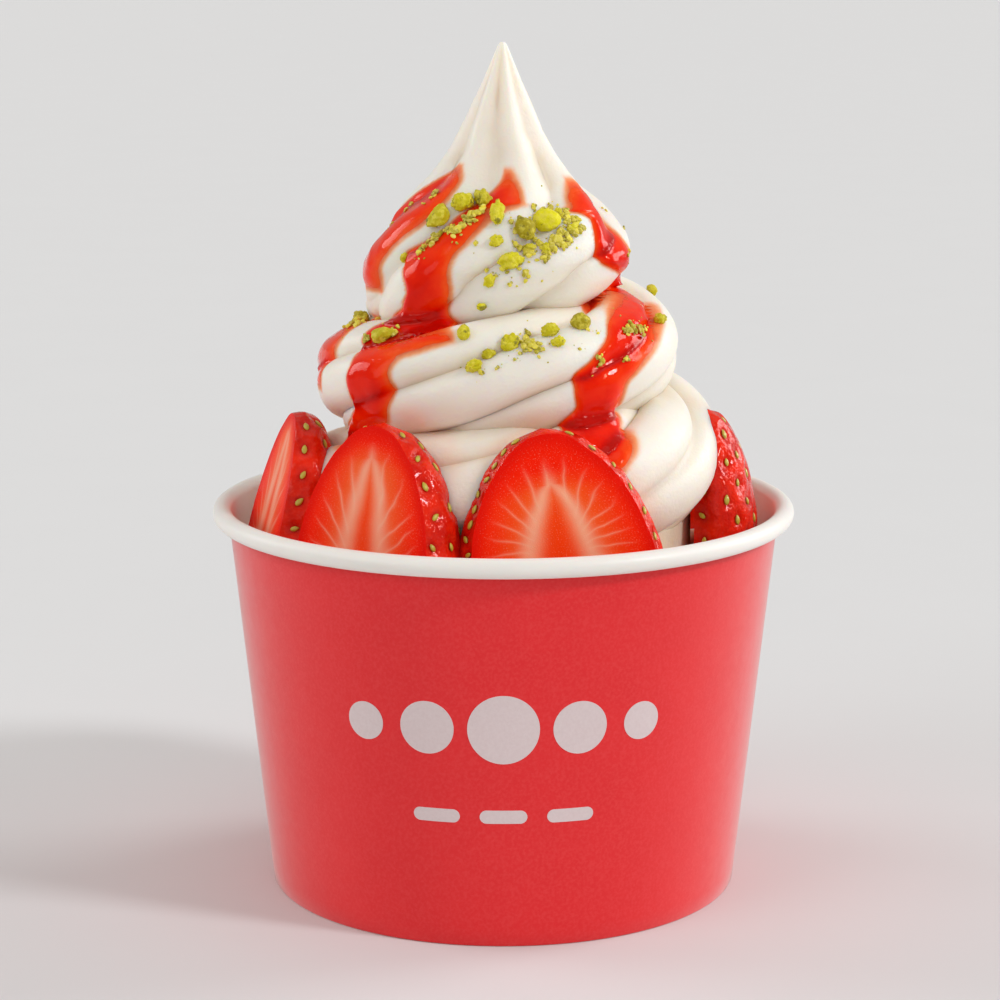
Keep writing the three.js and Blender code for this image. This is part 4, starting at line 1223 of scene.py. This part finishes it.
# azimuth, height, size of the crumbs that lie alone or in loose trails
CRUMBS = [
    (219.2, 115.1, 1.9), (194.1, 113.2, 1.1), (194.7, 112.4, 1), (196.9, 110.3, 1), (254.8, 112.7, 1.8),
    (257.3, 113.3, 1.9), (252.2, 112.2, 1.5), (249.9, 111.7, 1.5), (247.2, 110.3, 2.1),
    (249.4, 110.9, 1.5), (244.1, 110.2, 1.5), (234.9, 108.8, 2), (231.8, 108.2, 1.2), (231, 107.5, 1.4),
    (229.7, 106.7, 1.5), (256.9, 108.5, 1), (308.2, 112.7, 1.8), (304.6, 112.2, 1.6), (294.3, 113, 1.8),
    (303.4, 113.2, 1.6), (310.5, 110.3, 1.9), (304.8, 109.9, 1.8), (295.6, 108.9, 2.1),
    (298.1, 108, 1.6), (287.5, 108.3, 1.6), (281, 107.3, 2.2), (290.1, 107.4, 2.4), (287.8, 106.3, 1.6),
    (278.1, 107.6, 1.4), (284.5, 107.8, 1.2), (274.1, 111.7, 1.2), (275.6, 110.2, 1.1),
    (298.6, 109.9, 1.9), (309.1, 111.4, 1.5), (313, 110.4, 1.2), (270, 104.7, 1.6), (277, 105.5, 1.5),
    (279.4, 104.1, 1.8), (266.8, 103.7, 0.9), (272.6, 102.3, 0.9), (262.4, 104.4, 0.9),
    (262.8, 89.6, 1.3), (268.3, 90.4, 0.9), (273.5, 91.6, 0.8), (279, 93.7, 2), (276.9, 93.3, 1.6),
    (280.3, 93.6, 1.7), (281.6, 93.1, 1.8), (278.6, 92.8, 1.4), (275.2, 92.4, 0.9), (294.8, 92.8, 0.8),
    (300.2, 95.5, 0.9), (303.7, 94.8, 0.7), (302, 90.9, 1.6), (311.8, 90.6, 1.3), (316.8, 94.9, 1.7),
    (319.7, 95.1, 1.7), (323.7, 94.5, 1.7), (328.4, 94.2, 1.3), (315, 94.8, 1), (356.4, 111.9, 0.8),
    (356.8, 108.9, 0.8), (347.1, 105.7, 1), (337.8, 105.4, 1), (194, 93.8, 2.1), (199.1, 94.2, 1.8),
    (226.5, 94.2, 1.7), (214.7, 92.7, 1.7), (55, 111.2, 1.4), (60, 113.6, 1.2), (47, 111.8, 1.3),
    (66, 111, 1), (84, 110.6, 1.4), (93, 108.4, 1.3), (97, 110, 1), (146, 113.6, 1.3),
    (156, 111.2, 1.2), (150, 109.4, 1), (116, 97.6, 1.2), (106, 95.2, 1.3), (74, 96.4, 1.2),
    (66, 94, 1), (34, 94.2, 1.1), (24, 92.2, 1.2), (134, 100.6, 0.9), (12, 104.5, 0.9), (168, 104, 0.9),
    (80, 103.8, 1), (288.5, 113.7, 1.5), (300, 112.9, 1.6), (305.5, 111.4, 1.9), (299, 109.9, 1.9),
    (293, 108.7, 1.7), (302, 109, 1.7), (285, 109.4, 1.4), (312, 111.6, 1.4), (296.4, 108.2, 1.5),
    (287.9, 106.2, 1.2), (275.6, 108.4, 1.1), (250.6, 112.6, 1.7), (240.5, 110.2, 1.6),
    (236.5, 109.4, 1.5), (252.9, 111.8, 1.3),
]
# how rough and how knobbly each shape of kernel is
ROUGHNESS = {"ball": (0.16, 0.03), "drop": (0.14, 0.03), "bean": (0.2, 0.05), "lump": (0.34, 0.2)}


def knobs(point, scale):
    """rounded bumps packed side by side: 1 at the middle of each, 0 in the clefts between them"""
    gaps = noise.voronoi(point * scale)[0]
    return 1 - (1 - min((gaps[1] - gaps[0]) * 1.6, 1)) ** 2


def shape_nut(points, kind, seed):
    """pulls a ball about into a chopped kernel"""
    x, shaped = points[:, 0], points.copy()
    if kind == "bean":
        shaped[:, 1] += 0.55 * x**2 - 0.2
        shaped[:, 1:] *= (1 - 0.2 * x**2)[:, None]
    if kind == "drop":
        shaped[:, 1:] *= (1 - 0.62 * np.clip(x, 0, 1) ** 1.4)[:, None]
    rough, knobbly = ROUGHNESS[kind]
    big = np.array([noise.noise(Vector(p) * 1.5 + Vector((seed, 0, 0))) for p in points])
    fine = np.array([noise.noise(Vector(p) * 5.0 + Vector((0, seed, 0))) for p in points])
    knob = np.array([knobs(Vector(p) + Vector((0, 0, seed)), 1.9) for p in points])
    return shaped * (1 + rough * big + 0.09 * fine + knobbly * (knob - 0.4))[:, None]


def ball(subdivisions):
    """a ball of radius 1, to be shaped and brought down to size"""
    select_only()
    bpy.ops.mesh.primitive_ico_sphere_add(subdivisions=subdivisions, radius=1)
    return bpy.context.object


dressed = skin_tree(swirl, sauce)
draw = np.random.default_rng(5)
kernels = []
for count, (azimuth, height, length, width, spin, kind, green) in enumerate(NUTS):
    at, normal = rest_on(dressed, azimuth, height)
    kernel = ball(4)
    shaped = shape_nut(places(kernel.data), kind, 9.0 * count)
    shaped *= np.array([length, width, width * 0.92]) / 2
    level, _, up = facing(normal, (0, 0, 1))
    turn = math.radians(spin - 90)
    first = up * math.cos(turn) + level * math.sin(turn)
    axes = np.stack([first, np.cross(normal, first), normal])
    spot = (shaped @ axes + at + normal * width * 0.26) * MM
    kernel.data.vertices.foreach_set("co", spot.ravel())
    tip = np.clip((shaped[:, 0] / length * 2 - 0.72) * 6, 0, 1) * (kind == "drop")
    set_value(kernel.data, "green", green * (1 - 0.8 * tip))
    kernels.append(kernel)
nuts = joined("pistachio_pieces", kernels)

pistachio, tree, shader = finish(
    "pistachio", Roughness=0.5, Subsurface_Weight=0.15, Subsurface_Radius=(1.0, 0.9, 0.1),
    Subsurface_Scale=0.8 * MM, Specular_IOR_Level=0.2,
)
tone = blend(tree, reading(tree, "green"), (0.33, 0.25, 0.006, 1), (0.78, 0.71, 0.008, 1))
tone = blend(tree, spread(tree, grain(tree, 0.9), 0.42, 0.66, 0.0, 0.6), tone, (0.86, 0.75, 0.10, 1))
scraps = spread(tree, grain(tree, 1.5, 3, 0.6, 0.4), 0.56, 0.68, 0.0, 0.75)
tone = blend(tree, scraps, tone, (0.14, 0.12, 0.02, 1))
tree.links.new(tone, shader.inputs["Base Color"])
relief(tree, shader, [(grain(tree, 0.9, 4), 0.25), (grain(tree, 0.22, 3), 0.05)])
nuts.data.materials.append(pistachio)
bpy.ops.object.shade_smooth_by_angle(angle=math.radians(70))
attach(nuts, "root")
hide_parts("yogurt")

blanks = []
for count in range(4):
    blank = ball(1)
    blank.data.vertices.foreach_set("co", shape_nut(places(blank.data), "lump", 3.0 + 5 * count).ravel())
    blanks.append(blank)
beds = [[] for _ in blanks]
tones = [[] for _ in blanks]
for azimuth, height, size in CRUMBS:
    for k in range(2 + int(size * 4)):
        # the first bit is the crumb itself; the others lie close round it, or stray and are dust
        stray = 0.0 if k == 0 else size * (0.28 if draw.random() < 0.7 else 0.9)
        close = stray < size * 0.5
        bit = size * (0.75 if k == 0 else draw.uniform(0.3, 0.6) if close else draw.uniform(0.12, 0.3))
        turn = azimuth + draw.normal() * stray * 2.0
        at, normal = rest_on(dressed, turn, height + draw.normal() * stray * 0.8)
        if at is None:
            continue
        axes = facing(normal, (0, 0, 1), draw, math.pi)
        tilt = Matrix.Rotation(draw.uniform(-0.6, 0.6), 3, Vector(axes[0]))
        axes = np.array([list(tilt @ Vector(a)) for a in axes])
        long, thick, wide = draw.uniform(0.8, 1.5), draw.uniform(0.45, 0.9), draw.uniform(0.7, 1.1)
        scale = bit / 2 * np.array([long, thick, wide])
        kind = int(draw.integers(len(blanks)))
        lift = draw.uniform(0.3, 1.5) if close and k > 0 else 0.5
        beds[kind].append((axes * scale[:, None], at + normal * scale[1] * lift))
        tones[kind].append(draw.uniform(0.0, 1.0))
scatters = []
for blank, bed, tone_list in zip(blanks, beds, tones):
    scatter = copies("crumbs", blank, bed)
    scatter.data.transform(Matrix.Scale(MM, 4))
    set_value(scatter.data, "green", np.repeat(tone_list, len(blank.data.vertices)))
    scatters.append(scatter)
    bpy.data.objects.remove(blank)
crumbs = joined("pistachio_crumbs", scatters)
crumb_green, tree, shader = finish("pistachio crumb", Roughness=0.65, Specular_IOR_Level=0.2)
tone = blend(tree, reading(tree, "green"), (0.30, 0.25, 0.010, 1), (0.88, 0.76, 0.065, 1))
tone = blend(tree, spread(tree, grain(tree, 0.4), 0.4, 0.7, 0.0, 0.6), tone, (0.90, 0.78, 0.26, 1))
tree.links.new(tone, shader.inputs["Base Color"])
crumbs.data.materials.append(crumb_green)
bpy.ops.object.shade_smooth_by_angle(angle=math.radians(40))
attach(crumbs, "root")
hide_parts("yogurt")
